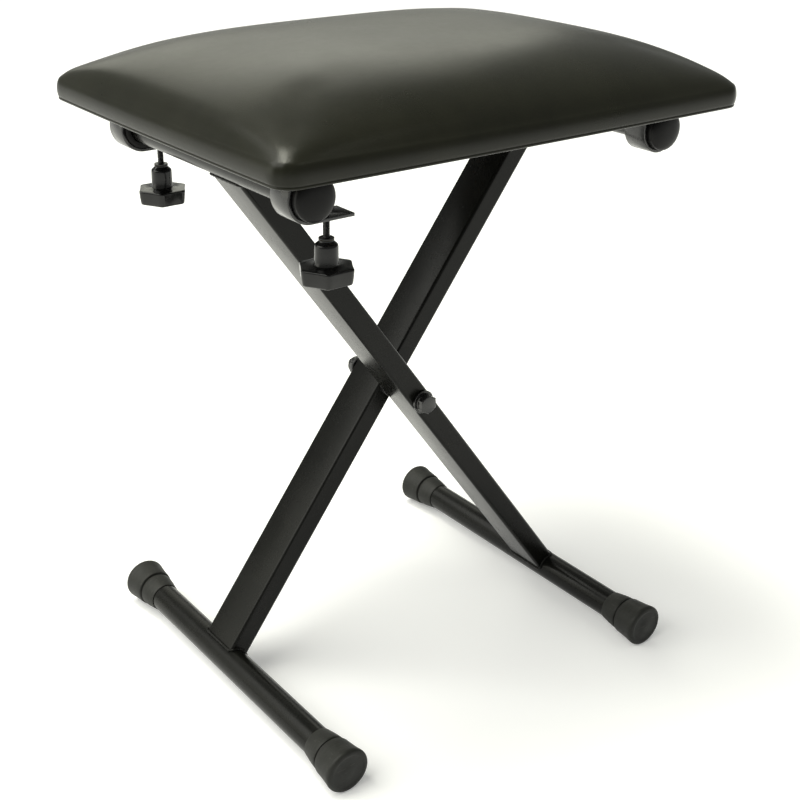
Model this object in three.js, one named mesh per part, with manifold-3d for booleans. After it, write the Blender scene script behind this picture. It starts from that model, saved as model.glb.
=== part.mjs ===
// A folding X-frame piano bench: two crossed leg frames on a pivot bolt, a padded seat
// that is hinged on the right cross tube and clamped to the left one by two hand knobs.
// Millimetres. +Z is up, +X runs along the long side of the seat, and the origin is on
// the floor under the middle of the bench.
import * as THREE from 'three';
import { mergeVertices } from 'three/addons/utils/BufferGeometryUtils.js';
import Module from 'manifold-3d';

const wasm = await Module();
wasm.setup();

// ---------------------------------------------------------------- driving dimensions

const gap = 0.3; // clearance left between pieces that touch
const through = 5; // how far a cutting tool runs past the face it opens
const roundSides = 32; // sides of the larger round pieces
const smallSides = 16; // sides of bolts, screws and knobs

const frame = {
  halfSpan: 164, // middle of the bench to the centre line of a foot or cross tube
  crossHeight: 461, // floor to the centre line of the cross tubes
  foldAngle: THREE.MathUtils.degToRad(55), // how far the two leg frames close
};
const leg = { width: 40, depth: 19, wall: 1.5, corner: 2.5, spacing: 6 };
const footTube = { radius: 12.5, wall: 1.5 };
const footCap = {
  overall: 336, // from the end of one cap to the end of the other
  radius: 19, // at the flared end
  neckRadius: 15, // where the cap starts on the tube
  length: 42,
  endWall: 3.5,
  soleDepth: 0.5, // how much the flat under the cap takes off its round
};
const crossTube = { radius: 11, wall: 1.5 };
const sleeve = { radius: 15.6, innerEnd: 104, domeStart: 131, domeHeight: 5, endWall: 2 };
const pivot = {
  boltRadius: 5,
  headRadius: 8.5,
  headHeight: 6.5,
  nutRadius: 8.5,
  nutHeight: 8,
  tail: 4, // bolt thread that shows past the nut
  washerRadius: 10,
  washerThickness: 2,
};
const seat = {
  overhang: 49, // seat end past the centre line of a cross tube
  width: 334,
  corner: 16, // radius of the outline's corners
  bow: 1.5, // how far the middle of each side stands out past its corners
  boardThickness: 15,
  bandHeight: 17, // bottom edge of the cover to its soft ridge
  crownHeight: 39.5, // soft ridge to the highest point
  coverThickness: 1.2,
  hem: 22, // how far the cover wraps under the board
  boardInset: 1.5, // how much the board stays short of the cover's inside
  clothInset: 3, // dust cloth to the edge of the hem
};
const rail = {
  width: 30,
  thickness: 2.5,
  end: 24, // rail past the start of its slot
  saddleEnd: 2, // rail past the saddle's flange
  lateral: 116, // middle of the bench to the middle of a rail
  screwInset: 8, // first screw from the end of the rail
  screwPastSlot: 18, // second screw past the end of the slot
};
const clamp = {
  boltRadius: 2.5,
  boltClearance: 0.5, // clamp bolt to sleeve
  slotClearance: 0.6, // clamp bolt to each side of its slot
  plateWidth: 21,
  plateThickness: 2.5,
  plateTip: 16, // plate length past the bolt
  hookRise: THREE.MathUtils.degToRad(40), // how far the hook climbs past the sleeve's side
  headWidth: 10,
  headHeight: 3.5,
};
const knob = {
  neckRadius: 9.5,
  neckHeight: 15,
  coneRadius: 5.6,
  coneHeight: 3,
  gripRadius: 24.5, // to the corners of the six-sided grip
  gripHeight: 12,
  gripDraft: 0.93, // bottom of the grip over its top
  floor: 3,
  travel: 14, // how far the knob winds up the bolt
  insertRadius: 5,
  insertLength: 8,
  washerRadius: 5.4,
  washerThickness: 1,
};
const saddle = { thickness: 2.5, flange: 13 };
const screw = { radius: 2, headRadius: 4.2, headHeight: 2.2, depth: 11 };

// ---------------------------------------------------------------- derived dimensions

const footHeight = footCap.radius - footCap.soleDepth;
const halfRise = (frame.crossHeight - footHeight) / 2;
const pivotHeight = footHeight + halfRise;
const lean = Math.atan2(frame.halfSpan, halfRise);
const legLength = 2 * Math.hypot(frame.halfSpan, halfRise);
const legLateral = (leg.width + leg.spacing) / 2;
const bushRadius = leg.depth / 2 - leg.wall - gap;

const railBottom = sleeve.radius + gap; // above the cross tube centre line
const railTop = railBottom + rail.thickness;
const coverBottom = railTop + gap;
const boardBottom = coverBottom + seat.coverThickness + gap;
const boardTop = boardBottom + seat.boardThickness;
const seatLength = 2 * (frame.halfSpan + seat.overhang);
const ridgeHeight = coverBottom + seat.bandHeight;

const boltOffset = sleeve.radius + clamp.boltClearance + clamp.boltRadius;
const plateTop = -(sleeve.radius + gap);
const plateBottom = plateTop - clamp.plateThickness;
const washerTop = plateBottom - gap - knob.travel;
const knobTop = washerTop - knob.washerThickness - gap;
const knobHeight = knob.coneHeight + knob.neckHeight + knob.gripHeight;
const boltEngagement = knobHeight - knob.floor - knob.travel - gap;
const slotTravel = 2 * frame.halfSpan - legLength * Math.sin(lean - frame.foldAngle / 2);
const slotStart = boltOffset - frame.halfSpan;
const railEnd = frame.halfSpan + sleeve.radius + saddle.thickness + saddle.flange + rail.saddleEnd;
const railStart = slotStart - rail.end;

// The places along X where each slotted rail and each saddle is screwed to the board.
const railScrewPlaces = [railStart + rail.screwInset, slotStart + slotTravel + rail.screwPastSlot];
const saddleScrewOffset = sleeve.radius + gap + saddle.thickness + saddle.flange / 2;
const saddleScrewPlaces = [-1, 1].map((s) => frame.halfSpan + s * saddleScrewOffset);

// ------------------------------------------------------------------------- materials

const powderCoat = { color: 0x1b1b1c, roughness: 0.42, metalness: 0.25 };
const rubber = { color: 0x202021, roughness: 0.7, metalness: 0 };
const glossPlastic = { color: 0x121314, roughness: 0.22, metalness: 0 };
const blackSteel = { color: 0x151617, roughness: 0.28, metalness: 0.6 };
const zincSteel = { color: 0x8d8f90, roughness: 0.35, metalness: 0.9 };
const brass = { color: 0xb08b45, roughness: 0.3, metalness: 0.95 };
const vinyl = { color: 0x141412, roughness: 0.3, metalness: 0 };
const foam = { color: 0xd9cfa8, roughness: 0.95, metalness: 0 };
const plywood = { color: 0xb08d5e, roughness: 0.8, metalness: 0 };
const cloth = { color: 0x18181a, roughness: 0.95, metalness: 0 };

// ------------------------------------------------------------------- solids and meshes

function solidOf(geometry) {
  geometry.deleteAttribute('normal');
  geometry.deleteAttribute('uv');
  const merged = mergeVertices(geometry, 1e-4);
  const used = [];
  const index = merged.index.array;
  for (let i = 0; i < index.length; i += 3) {
    const [a, b, c] = [index[i], index[i + 1], index[i + 2]];
    if (a !== b && b !== c && c !== a) used.push(a, b, c);
  }
  return new wasm.Manifold(new wasm.Mesh({
    numProp: 3,
    vertProperties: new Float32Array(merged.attributes.position.array),
    triVerts: new Uint32Array(used),
  }));
}

function piece(name, solid, look) {
  const { vertProperties, triVerts } = solid.getMesh();
  const geometry = new THREE.BufferGeometry();
  geometry.setAttribute('position', new THREE.BufferAttribute(vertProperties, 3));
  geometry.setIndex(new THREE.BufferAttribute(triVerts, 1));
  geometry.computeVertexNormals();
  const mesh = new THREE.Mesh(geometry, new THREE.MeshStandardMaterial(look));
  mesh.name = name;
  return mesh;
}

function groupOf(...members) {
  const group = new THREE.Group();
  group.add(...members);
  return group;
}

// A round bar along Y between two places on the Y axis.
function barY(radius, from, to, sides = roundSides) {
  const geometry = new THREE.CylinderGeometry(radius, radius, to - from, sides);
  return solidOf(geometry.translate(0, (from + to) / 2, 0));
}

// A round bar along Z between two heights.
function barZ(radius, from, to, sides = smallSides) {
  const geometry = new THREE.CylinderGeometry(radius, radius, to - from, sides);
  return solidOf(geometry.rotateX(Math.PI / 2).translate(0, 0, (from + to) / 2));
}

function tubeY(radius, wall, halfLength) {
  const bore = barY(radius - wall, -halfLength - through, halfLength + through);
  return barY(radius, -halfLength, halfLength).subtract(bore);
}

function block(x0, x1, y0, y1, z0, z1) {
  const geometry = new THREE.BoxGeometry(x1 - x0, y1 - y0, z1 - z0);
  return solidOf(geometry.translate((x0 + x1) / 2, (y0 + y1) / 2, (z0 + z1) / 2));
}

// A profile of [radius, height] points turned about the Y axis.
function turned(profile, sides = roundSides) {
  return solidOf(new THREE.LatheGeometry(profile.map(([r, h]) => new THREE.Vector2(r, h)), sides));
}

// A shape drawn in X and Z, given a width along Y about the XZ plane.
function extrudedY(shape, width, curveSegments = 20) {
  const geometry = new THREE.ExtrudeGeometry(shape, { depth: width, bevelEnabled: false, curveSegments });
  return solidOf(geometry.rotateX(Math.PI / 2).translate(0, width / 2, 0));
}

function roundedRectangle(width, height, radius) {
  const [x, y] = [width / 2 - radius, height / 2 - radius];
  const shape = new THREE.Shape();
  shape.absarc(x, y, radius, 0, Math.PI / 2);
  shape.absarc(-x, y, radius, Math.PI / 2, Math.PI);
  shape.absarc(-x, -y, radius, Math.PI, 1.5 * Math.PI);
  shape.absarc(x, -y, radius, 1.5 * Math.PI, 2 * Math.PI);
  return shape;
}

// ------------------------------------------------------------------------ leg frames

// A rectangular tube up local Z, coped to the round tubes it is welded to at both ends
// and drilled for the pivot bolt halfway up.
function legTube(name) {
  const section = (inset) => {
    const outline = roundedRectangle(leg.depth - 2 * inset, leg.width - 2 * inset, leg.corner - inset);
    const length = legLength + (inset ? 2 * through : 0);
    const options = { depth: length, bevelEnabled: false, curveSegments: 4 };
    const geometry = new THREE.ExtrudeGeometry(outline, options);
    return solidOf(geometry.translate(0, 0, (legLength - length) / 2));
  };
  const across = leg.width / 2 + through;
  const solid = section(0)
    .subtract(section(leg.wall))
    .subtract(barY(footTube.radius + gap, -across, across))
    .subtract(barY(crossTube.radius + gap, -across, across).translate([0, 0, legLength]))
    .subtract(barY(pivot.boltRadius + gap, -across, across, smallSides).translate([0, 0, legLength / 2]));
  return piece(name, solid, powderCoat);
}

// The tube that keeps the pivot bolt from crushing the leg.
function legBush(name) {
  const half = leg.width / 2 - leg.wall - gap;
  const bore = barY(pivot.boltRadius + gap, -half - through, half + through, smallSides);
  const mesh = piece(name, barY(bushRadius, -half, half).subtract(bore), zincSteel);
  mesh.position.z = legLength / 2;
  return mesh;
}

// A rubber cap for a foot tube. The closed, flared end points along +Y.
function footCapSolid() {
  const bore = footTube.radius + gap;
  const { radius, neckRadius, length, endWall } = footCap;
  const profile = [
    [0, -endWall],
    [bore, -endWall],
    [bore, -length],
    [neckRadius - 0.8, -length],
    [neckRadius, -length + 1],
    [neckRadius + 0.8, -length + 5],
    [neckRadius + 1.2, -length + 14],
    [radius - 1.6, -9],
    [radius - 0.3, -6],
    [radius, -4],
    [radius, -2.4],
    [radius - 0.8, -0.8],
    [radius - 2.6, 0],
    [0, 0],
  ];
  const sole = block(-radius, radius, -length - through, through, -2 * radius, -footHeight);
  return turned(profile).subtract(sole);
}

function footCapPiece(name, end) {
  const mesh = piece(name, footCapSolid(), rubber);
  mesh.position.y = end * footCap.overall / 2;
  mesh.rotation.z = end > 0 ? 0 : Math.PI;
  return mesh;
}

// A domed plastic sleeve for the end of a cross tube. The dome points along +Y.
function crossSleeve(name, end) {
  const bore = crossTube.radius + gap;
  const { radius, innerEnd, domeStart, domeHeight, endWall } = sleeve;
  const profile = [
    [0, domeStart - endWall],
    [bore, domeStart - endWall],
    [bore, innerEnd],
    [radius - 1, innerEnd],
    [radius, innerEnd + 1],
  ];
  const rings = 6;
  for (let i = 0; i <= rings; i++) {
    const turn = (i / rings) * Math.PI / 2;
    profile.push([i === rings ? 0 : radius * Math.cos(turn), domeStart + domeHeight * Math.sin(turn)]);
  }
  const mesh = piece(name, turned(profile), rubber);
  mesh.rotation.z = end > 0 ? 0 : Math.PI;
  return mesh;
}

// One leg frame: side is -1 when its foot is on the left and its cross tube on the right.
function legFrame(side, names) {
  const footHalf = footCap.overall / 2 - footCap.endWall - gap;
  const crossHalf = sleeve.domeStart - sleeve.endWall - gap;

  const legGroup = groupOf(legTube(names.leg), legBush(names.bush));
  legGroup.position.set(side * frame.halfSpan, -side * legLateral, footHeight);
  legGroup.rotation.y = -side * lean;

  const foot = groupOf(
    piece(names.foot, tubeY(footTube.radius, footTube.wall, footHalf), powderCoat),
    footCapPiece(`${names.foot}_cap_near`, -1),
    footCapPiece(`${names.foot}_cap_far`, 1),
  );
  foot.position.set(side * frame.halfSpan, 0, footHeight);

  const cross = groupOf(
    piece(names.cross, tubeY(crossTube.radius, crossTube.wall, crossHalf), powderCoat),
    crossSleeve(`${names.cross}_sleeve_near`, -1),
    crossSleeve(`${names.cross}_sleeve_far`, 1),
  );
  cross.position.set(-side * frame.halfSpan, 0, frame.crossHeight);

  return groupOf(legGroup, foot, cross);
}

// ----------------------------------------------------------------------------- pivot

// The bolt runs through both legs with its head on the near leg.
function pivotAssembly() {
  const outerFace = legLateral + leg.width / 2;
  const headFace = -(outerFace + gap + pivot.washerThickness + gap);
  const nutFace = -headFace;
  const nutEnd = nutFace + pivot.nutHeight;

  const head = barY(pivot.headRadius, headFace - pivot.headHeight, headFace, 6);
  const shank = barY(pivot.boltRadius, headFace - 1, nutEnd + pivot.tail, smallSides);
  const holeReach = nutEnd + through;
  const hole = barY(pivot.boltRadius + gap, -holeReach, holeReach, smallSides);
  const ring = (radius, from, to, sides) => barY(radius, from, to, sides).subtract(hole);

  const spacerHalf = leg.spacing / 2 - gap;
  const group = groupOf(
    piece('pivot_bolt', head.add(shank), zincSteel),
    piece('pivot_nut', ring(pivot.nutRadius, nutFace, nutEnd, 6), blackSteel),
    piece('pivot_spacer', ring(pivot.washerRadius, -spacerHalf, spacerHalf, roundSides), blackSteel),
    piece(
      'pivot_washer_near',
      ring(pivot.washerRadius, headFace + gap, -outerFace - gap, roundSides),
      blackSteel,
    ),
    piece(
      'pivot_washer_far',
      ring(pivot.washerRadius, outerFace + gap, nutFace - gap, roundSides),
      blackSteel,
    ),
  );
  group.position.z = pivotHeight;
  return group;
}

// ------------------------------------------------------------------------------ seat

// The seat's outline set in by some distance: round corners joined by bowed sides.
function seatOutline(inset) {
  const [x, y] = [seatLength / 2 - inset, seat.width / 2 - inset];
  const radius = Math.max(seat.corner - inset, 1);
  const [cx, cy] = [x - seat.bow - radius, y - seat.bow - radius];
  const shape = new THREE.Shape();
  shape.absarc(cx, -cy, radius, 1.5 * Math.PI, 2 * Math.PI);
  shape.quadraticCurveTo(x + seat.bow, 0, cx + radius, cy);
  shape.absarc(cx, cy, radius, 0, Math.PI / 2);
  shape.quadraticCurveTo(0, y + seat.bow, -cx, cy + radius);
  shape.absarc(-cx, cy, radius, Math.PI / 2, Math.PI);
  shape.quadraticCurveTo(-x - seat.bow, 0, -cx - radius, -cy);
  shape.absarc(-cx, -cy, radius, Math.PI, 1.5 * Math.PI);
  shape.quadraticCurveTo(0, -y - seat.bow, cx, -cy - radius);
  return shape.getPoints(4).slice(0, -1);
}

// A profile of [share, height, inset] points that runs down the outside, swept round the
// seat: each point lies that share of the way out to the outline, which is first set in
// by the inset. LatheGeometry takes its points the other way, going up.
function sweptRound(profile) {
  const rising = profile.toReversed();
  const points = rising.map(([share, height]) => new THREE.Vector2(share, height));
  const outlines = rising.map(([, , inset = 0]) => seatOutline(inset));
  const columns = outlines[0].length;
  const geometry = new THREE.LatheGeometry(points, columns);
  const place = geometry.attributes.position;
  for (let i = 0; i < place.count; i++) {
    const row = i % rising.length;
    const [share, height] = rising[row];
    const edge = outlines[row][Math.floor(i / rising.length) % columns];
    place.setXYZ(i, share * edge.x, share * edge.y, height);
  }
  return solidOf(geometry);
}

// The crown from the middle out to the soft ridge, at a depth below the cover's outside.
function crownProfile(depth) {
  const shares = [0, 0.25, 0.45, 0.62, 0.76, 0.87, 0.94, 0.98];
  return shares.map((share) => {
    const swell = Math.pow(1 - Math.pow(share, 2.4), 0.75);
    return [share, ridgeHeight + seat.crownHeight * swell - depth, depth];
  });
}

// The side of the seat from the soft ridge down to a height, a little bulged.
function bandProfile(bottom, depth) {
  const top = ridgeHeight - depth;
  return [0.15, 0.5, 0.85, 1].map((t) => {
    const height = top + (bottom - top) * t;
    const drop = Math.min((ridgeHeight - height) / seat.bandHeight, 0.9);
    return [0.99 + 0.01 * Math.sin(Math.PI * drop), height, depth];
  });
}

// The solid with a hole for every screw that comes up through it, on both rails.
function withScrewHoles(solid, bottom, top) {
  let drilled = solid;
  for (const side of [-1, 1]) {
    for (const x of [...railScrewPlaces, ...saddleScrewPlaces]) {
      const hole = barZ(screw.radius + gap, bottom, top);
      drilled = drilled.subtract(hole.translate([x, side * rail.lateral, 0]));
    }
  }
  return drilled;
}

function seatCover() {
  const { coverThickness: skin, hem } = seat;
  const outside = [...crownProfile(0), ...bandProfile(coverBottom + 1, 0), [0.987, coverBottom]];
  const inside = [...crownProfile(skin), ...bandProfile(coverBottom + skin, skin)];
  const hemEdge = [[1, coverBottom, hem], [1, coverBottom + skin, hem]];
  const solid = sweptRound([...outside, ...hemEdge, ...inside.reverse()]);
  return piece('seat_cover', withScrewHoles(solid, coverBottom - through, boardBottom), vinyl);
}

function seatFoam() {
  const depth = seat.coverThickness + 2 * gap;
  const bottom = boardTop + gap;
  const profile = [...crownProfile(depth), ...bandProfile(bottom, depth), [0, bottom]];
  return piece('seat_foam', sweptRound(profile), foam);
}

// The slot that the clamp bolt slides in, cut between two heights.
function slotCutter(halfWidth, z0, z1) {
  const end = (x) => barZ(halfWidth, z0, z1).translate([x, 0, 0]);
  const first = slotStart;
  const last = slotStart + slotTravel;
  return block(first, last, -halfWidth, halfWidth, z0, z1).add(end(first)).add(end(last));
}

function seatBoard() {
  const bottom = boardBottom;
  const inset = seat.coverThickness + gap + seat.boardInset;
  const profile = [[0, boardTop], [0.99, boardTop, inset], [0.99, bottom, inset], [0, bottom]];
  let solid = sweptRound(profile);
  const grooveHalf = clamp.headWidth / Math.SQRT2 + 1;
  const grooveDepth = clamp.headHeight + gap;
  for (const side of [-1, 1]) {
    const groove = slotCutter(grooveHalf, bottom - through, bottom + grooveDepth);
    solid = solid.subtract(groove.translate([0, side * rail.lateral, 0]));
  }
  const drilled = withScrewHoles(solid, bottom - through, railBottom + screw.depth + 1);
  return piece('seat_board', drilled, plywood);
}

// The thin cloth that closes the underside of the board, open over the two slots.
function dustCloth() {
  const inset = seat.hem + seat.clothInset;
  const [bottom, top] = [coverBottom, coverBottom + 1];
  const profile = [[0, top], [1, top, inset], [1, bottom, inset], [0, bottom]];
  let solid = sweptRound(profile);
  const grooveHalf = clamp.headWidth / Math.SQRT2 + 2;
  for (const side of [-1, 1]) {
    const opening = slotCutter(grooveHalf, bottom - through, top + through);
    solid = solid.subtract(opening.translate([0, side * rail.lateral, 0]));
  }
  return piece('dust_cloth', withScrewHoles(solid, bottom - through, top + through), cloth);
}

function seatRail(name, side) {
  const half = rail.width / 2;
  let solid = block(railStart, railEnd, -half, half, railBottom, railTop);
  const slotHalf = clamp.boltRadius + clamp.slotClearance;
  solid = solid.subtract(slotCutter(slotHalf, railBottom - through, railTop + through));
  for (const x of railScrewPlaces) {
    const sink = new THREE.CylinderGeometry(screw.radius + gap, screw.headRadius + 0.4, screw.headHeight);
    const cone = solidOf(sink.rotateX(Math.PI / 2).translate(x, 0, railBottom + screw.headHeight / 2 - 0.01));
    const hole = barZ(screw.radius + gap, railBottom - through, railTop + through).translate([x, 0, 0]);
    solid = solid.subtract(cone).subtract(hole);
  }
  for (const x of saddleScrewPlaces) {
    const hole = barZ(screw.radius + gap, railBottom - through, railTop + through);
    solid = solid.subtract(hole.translate([x, 0, 0]));
  }
  const mesh = piece(name, solid, blackSteel);
  mesh.position.y = side * rail.lateral;
  return mesh;
}

// A countersunk screw whose head lies flush in the rail.
function railScrew(name, x, side) {
  const head = new THREE.CylinderGeometry(screw.radius, screw.headRadius, screw.headHeight - gap, smallSides);
  const bottom = railBottom + gap;
  const cone = solidOf(head.rotateX(Math.PI / 2).translate(0, 0, bottom + (screw.headHeight - gap) / 2));
  const mesh = piece(name, cone.add(barZ(screw.radius, bottom + 1, railBottom + screw.depth)), zincSteel);
  mesh.position.set(x, side * rail.lateral, 0);
  return mesh;
}

// The strap under a right-hand sleeve, with a flange on each side screwed to the rail.
function seatSaddle(name, side) {
  const inner = sleeve.radius + gap;
  const outer = inner + saddle.thickness;
  const top = railBottom - gap;
  const under = top - saddle.thickness;
  const reach = outer + saddle.flange;
  const shape = new THREE.Shape();
  shape.moveTo(reach, top);
  shape.lineTo(inner, top);
  shape.lineTo(inner, 0);
  shape.absarc(0, 0, inner, 0, -Math.PI, true);
  shape.lineTo(-inner, top);
  shape.lineTo(-reach, top);
  shape.lineTo(-reach, under);
  shape.lineTo(-outer, under);
  shape.lineTo(-outer, 0);
  shape.absarc(0, 0, outer, Math.PI, 2 * Math.PI, false);
  shape.lineTo(outer, under);
  shape.lineTo(reach, under);
  shape.closePath();
  let solid = extrudedY(shape, clamp.plateWidth, 16);
  for (const s of [-1, 1]) {
    const hole = barZ(screw.radius + gap, under - through, top + through);
    solid = solid.subtract(hole.translate([s * saddleScrewOffset, 0, 0]));
  }
  const mesh = piece(name, solid, blackSteel);
  mesh.position.set(frame.halfSpan, side * rail.lateral, 0);
  return mesh;
}

function saddleScrew(name, x, side) {
  const flangeUnder = railBottom - gap - saddle.thickness - gap;
  const head = barZ(screw.headRadius, flangeUnder - screw.headHeight, flangeUnder);
  const solid = head.add(barZ(screw.radius, flangeUnder - 1, railBottom + screw.depth));
  const mesh = piece(name, solid, zincSteel);
  mesh.position.set(x, side * rail.lateral, 0);
  return mesh;
}

function seatAssembly() {
  const group = groupOf(seatBoard(), seatFoam(), seatCover(), dustCloth());
  for (const [side, end] of [[-1, 'near'], [1, 'far']]) {
    group.add(seatRail(`seat_rail_${end}`, side), seatSaddle(`seat_saddle_${end}`, side));
    railScrewPlaces.forEach((x, i) => group.add(railScrew(`rail_screw_${end}_${i + 1}`, x, side)));
    saddleScrewPlaces.forEach((x, i) => group.add(saddleScrew(`saddle_screw_${end}_${i + 1}`, x, side)));
  }
  group.position.z = frame.crossHeight;
  return group;
}

// ---------------------------------------------------------------------- seat clamps

// The plate under the sleeve: flat past the clamp bolt, and hooked up round the outside.
function hookPlate(name) {
  const inner = -plateTop;
  const outer = -plateBottom;
  const rise = Math.PI - clamp.hookRise;
  const tip = boltOffset + clamp.plateTip;
  const shape = new THREE.Shape();
  shape.moveTo(tip, plateTop);
  shape.lineTo(0, plateTop);
  shape.absarc(0, 0, inner, -Math.PI / 2, rise, true);
  shape.lineTo(outer * Math.cos(rise), outer * Math.sin(rise));
  shape.absarc(0, 0, outer, rise, -Math.PI / 2, false);
  shape.lineTo(tip, plateBottom);
  shape.closePath();
  const hole = barZ(clamp.boltRadius + gap, plateBottom - through, plateTop + through);
  const solid = extrudedY(shape, clamp.plateWidth).subtract(hole.translate([boltOffset, 0, 0]));
  return piece(name, solid, blackSteel);
}

// The bolt's square head slides above the rail, and its shank passes the sleeve.
function clampBolt(name) {
  const half = clamp.headWidth / 2;
  const headBottom = railTop + gap;
  const head = block(-half, half, -half, half, headBottom, headBottom + clamp.headHeight);
  const shank = barZ(clamp.boltRadius, knobTop - boltEngagement, headBottom + 1);
  const mesh = piece(name, head.add(shank), zincSteel);
  mesh.position.x = boltOffset;
  return mesh;
}

function knobWasher(name) {
  const hole = barZ(clamp.boltRadius + gap, washerTop - through, washerTop + through);
  const disc = barZ(knob.washerRadius, washerTop - knob.washerThickness, washerTop);
  const mesh = piece(name, disc.subtract(hole), zincSteel);
  mesh.position.x = boltOffset;
  return mesh;
}

// A six-sided grip under a round neck, bored from the top for the bolt and its insert.
function handKnob(name) {
  const neckTop = knobTop - knob.coneHeight;
  const gripTop = neckTop - knob.neckHeight;
  const gripBottom = gripTop - knob.gripHeight;
  const cone = new THREE.CylinderGeometry(knob.coneRadius, knob.neckRadius, knob.coneHeight, smallSides);
  const grip = new THREE.CylinderGeometry(
    knob.gripRadius,
    knob.gripRadius * knob.gripDraft,
    knob.gripHeight,
    6,
  );
  const solid = solidOf(cone.rotateX(Math.PI / 2).translate(0, 0, neckTop + knob.coneHeight / 2))
    .add(barZ(knob.neckRadius, gripTop - 1, neckTop))
    .add(solidOf(grip.rotateX(Math.PI / 2).translate(0, 0, gripTop - knob.gripHeight / 2)))
    .subtract(barZ(knob.insertRadius + gap, knobTop - knob.insertLength - gap, knobTop + through))
    .subtract(barZ(clamp.boltRadius + gap, gripBottom + knob.floor, knobTop + through));
  const mesh = piece(name, solid, glossPlastic);
  mesh.position.x = boltOffset;
  return mesh;
}

function knobInsert(name) {
  const bore = barZ(clamp.boltRadius + gap, knobTop - knob.insertLength - through, knobTop + through);
  const body = barZ(knob.insertRadius, knobTop - knob.insertLength, knobTop);
  const mesh = piece(name, body.subtract(bore), brass);
  mesh.position.x = boltOffset;
  return mesh;
}

function seatClamp(side, end) {
  const group = groupOf(
    hookPlate(`hook_plate_${end}`),
    clampBolt(`clamp_bolt_${end}`),
    knobWasher(`knob_washer_${end}`),
    handKnob(`clamp_knob_${end}`),
    knobInsert(`knob_insert_${end}`),
  );
  group.position.set(-frame.halfSpan, side * rail.lateral, frame.crossHeight);
  return group;
}

// ------------------------------------------------------------------------- the bench

const bench = groupOf(
  legFrame(-1, { leg: 'rear_leg', bush: 'rear_leg_bush', foot: 'left_foot', cross: 'right_cross_tube' }),
  legFrame(1, { leg: 'front_leg', bush: 'front_leg_bush', foot: 'right_foot', cross: 'left_cross_tube' }),
  pivotAssembly(),
  seatAssembly(),
  seatClamp(-1, 'near'),
  seatClamp(1, 'far'),
);

export default bench;
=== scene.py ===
"""A folding piano bench: two crossed leg frames of black steel tube, a padded vinyl seat,
and two hand-knob clamps that lock the seat's height.

Lengths in the tables below are millimetres and are turned into metres by mm(). The CAD
frame gives every place: a piece is built where its CAD node stands, +Z up.
"""

import math

import bmesh
import bpy
from mathutils import Matrix, Vector, noise


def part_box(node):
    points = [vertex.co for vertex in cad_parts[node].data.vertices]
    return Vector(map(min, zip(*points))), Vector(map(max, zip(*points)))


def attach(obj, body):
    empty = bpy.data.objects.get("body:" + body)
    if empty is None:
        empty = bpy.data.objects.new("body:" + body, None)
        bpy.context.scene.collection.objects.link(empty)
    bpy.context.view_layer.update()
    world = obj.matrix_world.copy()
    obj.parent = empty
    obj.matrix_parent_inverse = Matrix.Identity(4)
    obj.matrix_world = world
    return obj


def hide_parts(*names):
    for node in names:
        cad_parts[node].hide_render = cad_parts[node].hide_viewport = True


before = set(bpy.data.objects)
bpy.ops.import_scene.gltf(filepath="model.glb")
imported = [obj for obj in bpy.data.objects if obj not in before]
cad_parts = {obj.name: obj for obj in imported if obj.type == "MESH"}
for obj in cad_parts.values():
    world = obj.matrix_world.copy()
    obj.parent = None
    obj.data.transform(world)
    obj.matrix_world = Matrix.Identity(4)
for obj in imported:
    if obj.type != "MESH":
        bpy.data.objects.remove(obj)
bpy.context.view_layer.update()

ROUND = 64  # sides of the larger round pieces
SMALL = 32  # sides of screws, bolts and washers
ENDS = {"near": -1, "far": 1}  # the two ends of a foot or cross tube, along Y
SHARP = math.radians(32)  # edges that turn more than this are kept crisp


def mm(value):
    return value / 1000


def box_centre(node):
    low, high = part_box(node)
    return (low + high) / 2


def box_size(node):
    low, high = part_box(node)
    return high - low


def box_foot(node):
    """The middle of the underside of the node's box."""
    low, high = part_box(node)
    return Vector(((low.x + high.x) / 2, (low.y + high.y) / 2, low.z))


# ------------------------------------------------------------------ camera and studio


def aim(back, roll=0.0):
    """The rotation of a camera or lamp that looks against the direction `back`."""
    right = Vector((0, 0, 1)).cross(back).normalized()
    up = back.cross(right)
    right_rolled = right * math.cos(roll) + up * math.sin(roll)
    up_rolled = up * math.cos(roll) - right * math.sin(roll)
    return Matrix((right_rolled, up_rolled, back)).transposed()


def bench_camera():
    azimuth, elevation, roll = (math.radians(a) for a in (-36.55, 25.35, 0.44))
    place = Vector((-0.6168, -0.8028, 0.6977))
    back = Vector((
        math.sin(azimuth) * math.cos(elevation),
        -math.cos(azimuth) * math.cos(elevation),
        math.sin(elevation),
    ))
    data = bpy.data.cameras.new("bench_camera")
    data.lens = 58.5
    data.sensor_width = 36
    data.shift_x, data.shift_y = 0.0369, 0.0083
    camera = bpy.data.objects.new("bench_camera", data)
    camera.matrix_world = Matrix.Translation(place) @ aim(back, roll).to_4x4()
    bpy.context.scene.collection.objects.link(camera)
    bpy.context.scene.camera = camera


def softbox(name, place, width, height, watts):
    """A softbox that faces the middle of the seat."""
    data = bpy.data.lights.new(name, "AREA")
    data.shape = "RECTANGLE"
    data.size = width
    data.size_y = height
    data.energy = watts
    data.color = (1.0, 1.0, 0.86)
    lamp = bpy.data.objects.new(name, data)
    back = (Vector(place) - Vector((0, 0, 0.5))).normalized()
    lamp.matrix_world = Matrix.Translation(place) @ aim(back).to_4x4()
    bpy.context.scene.collection.objects.link(lamp)


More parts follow.
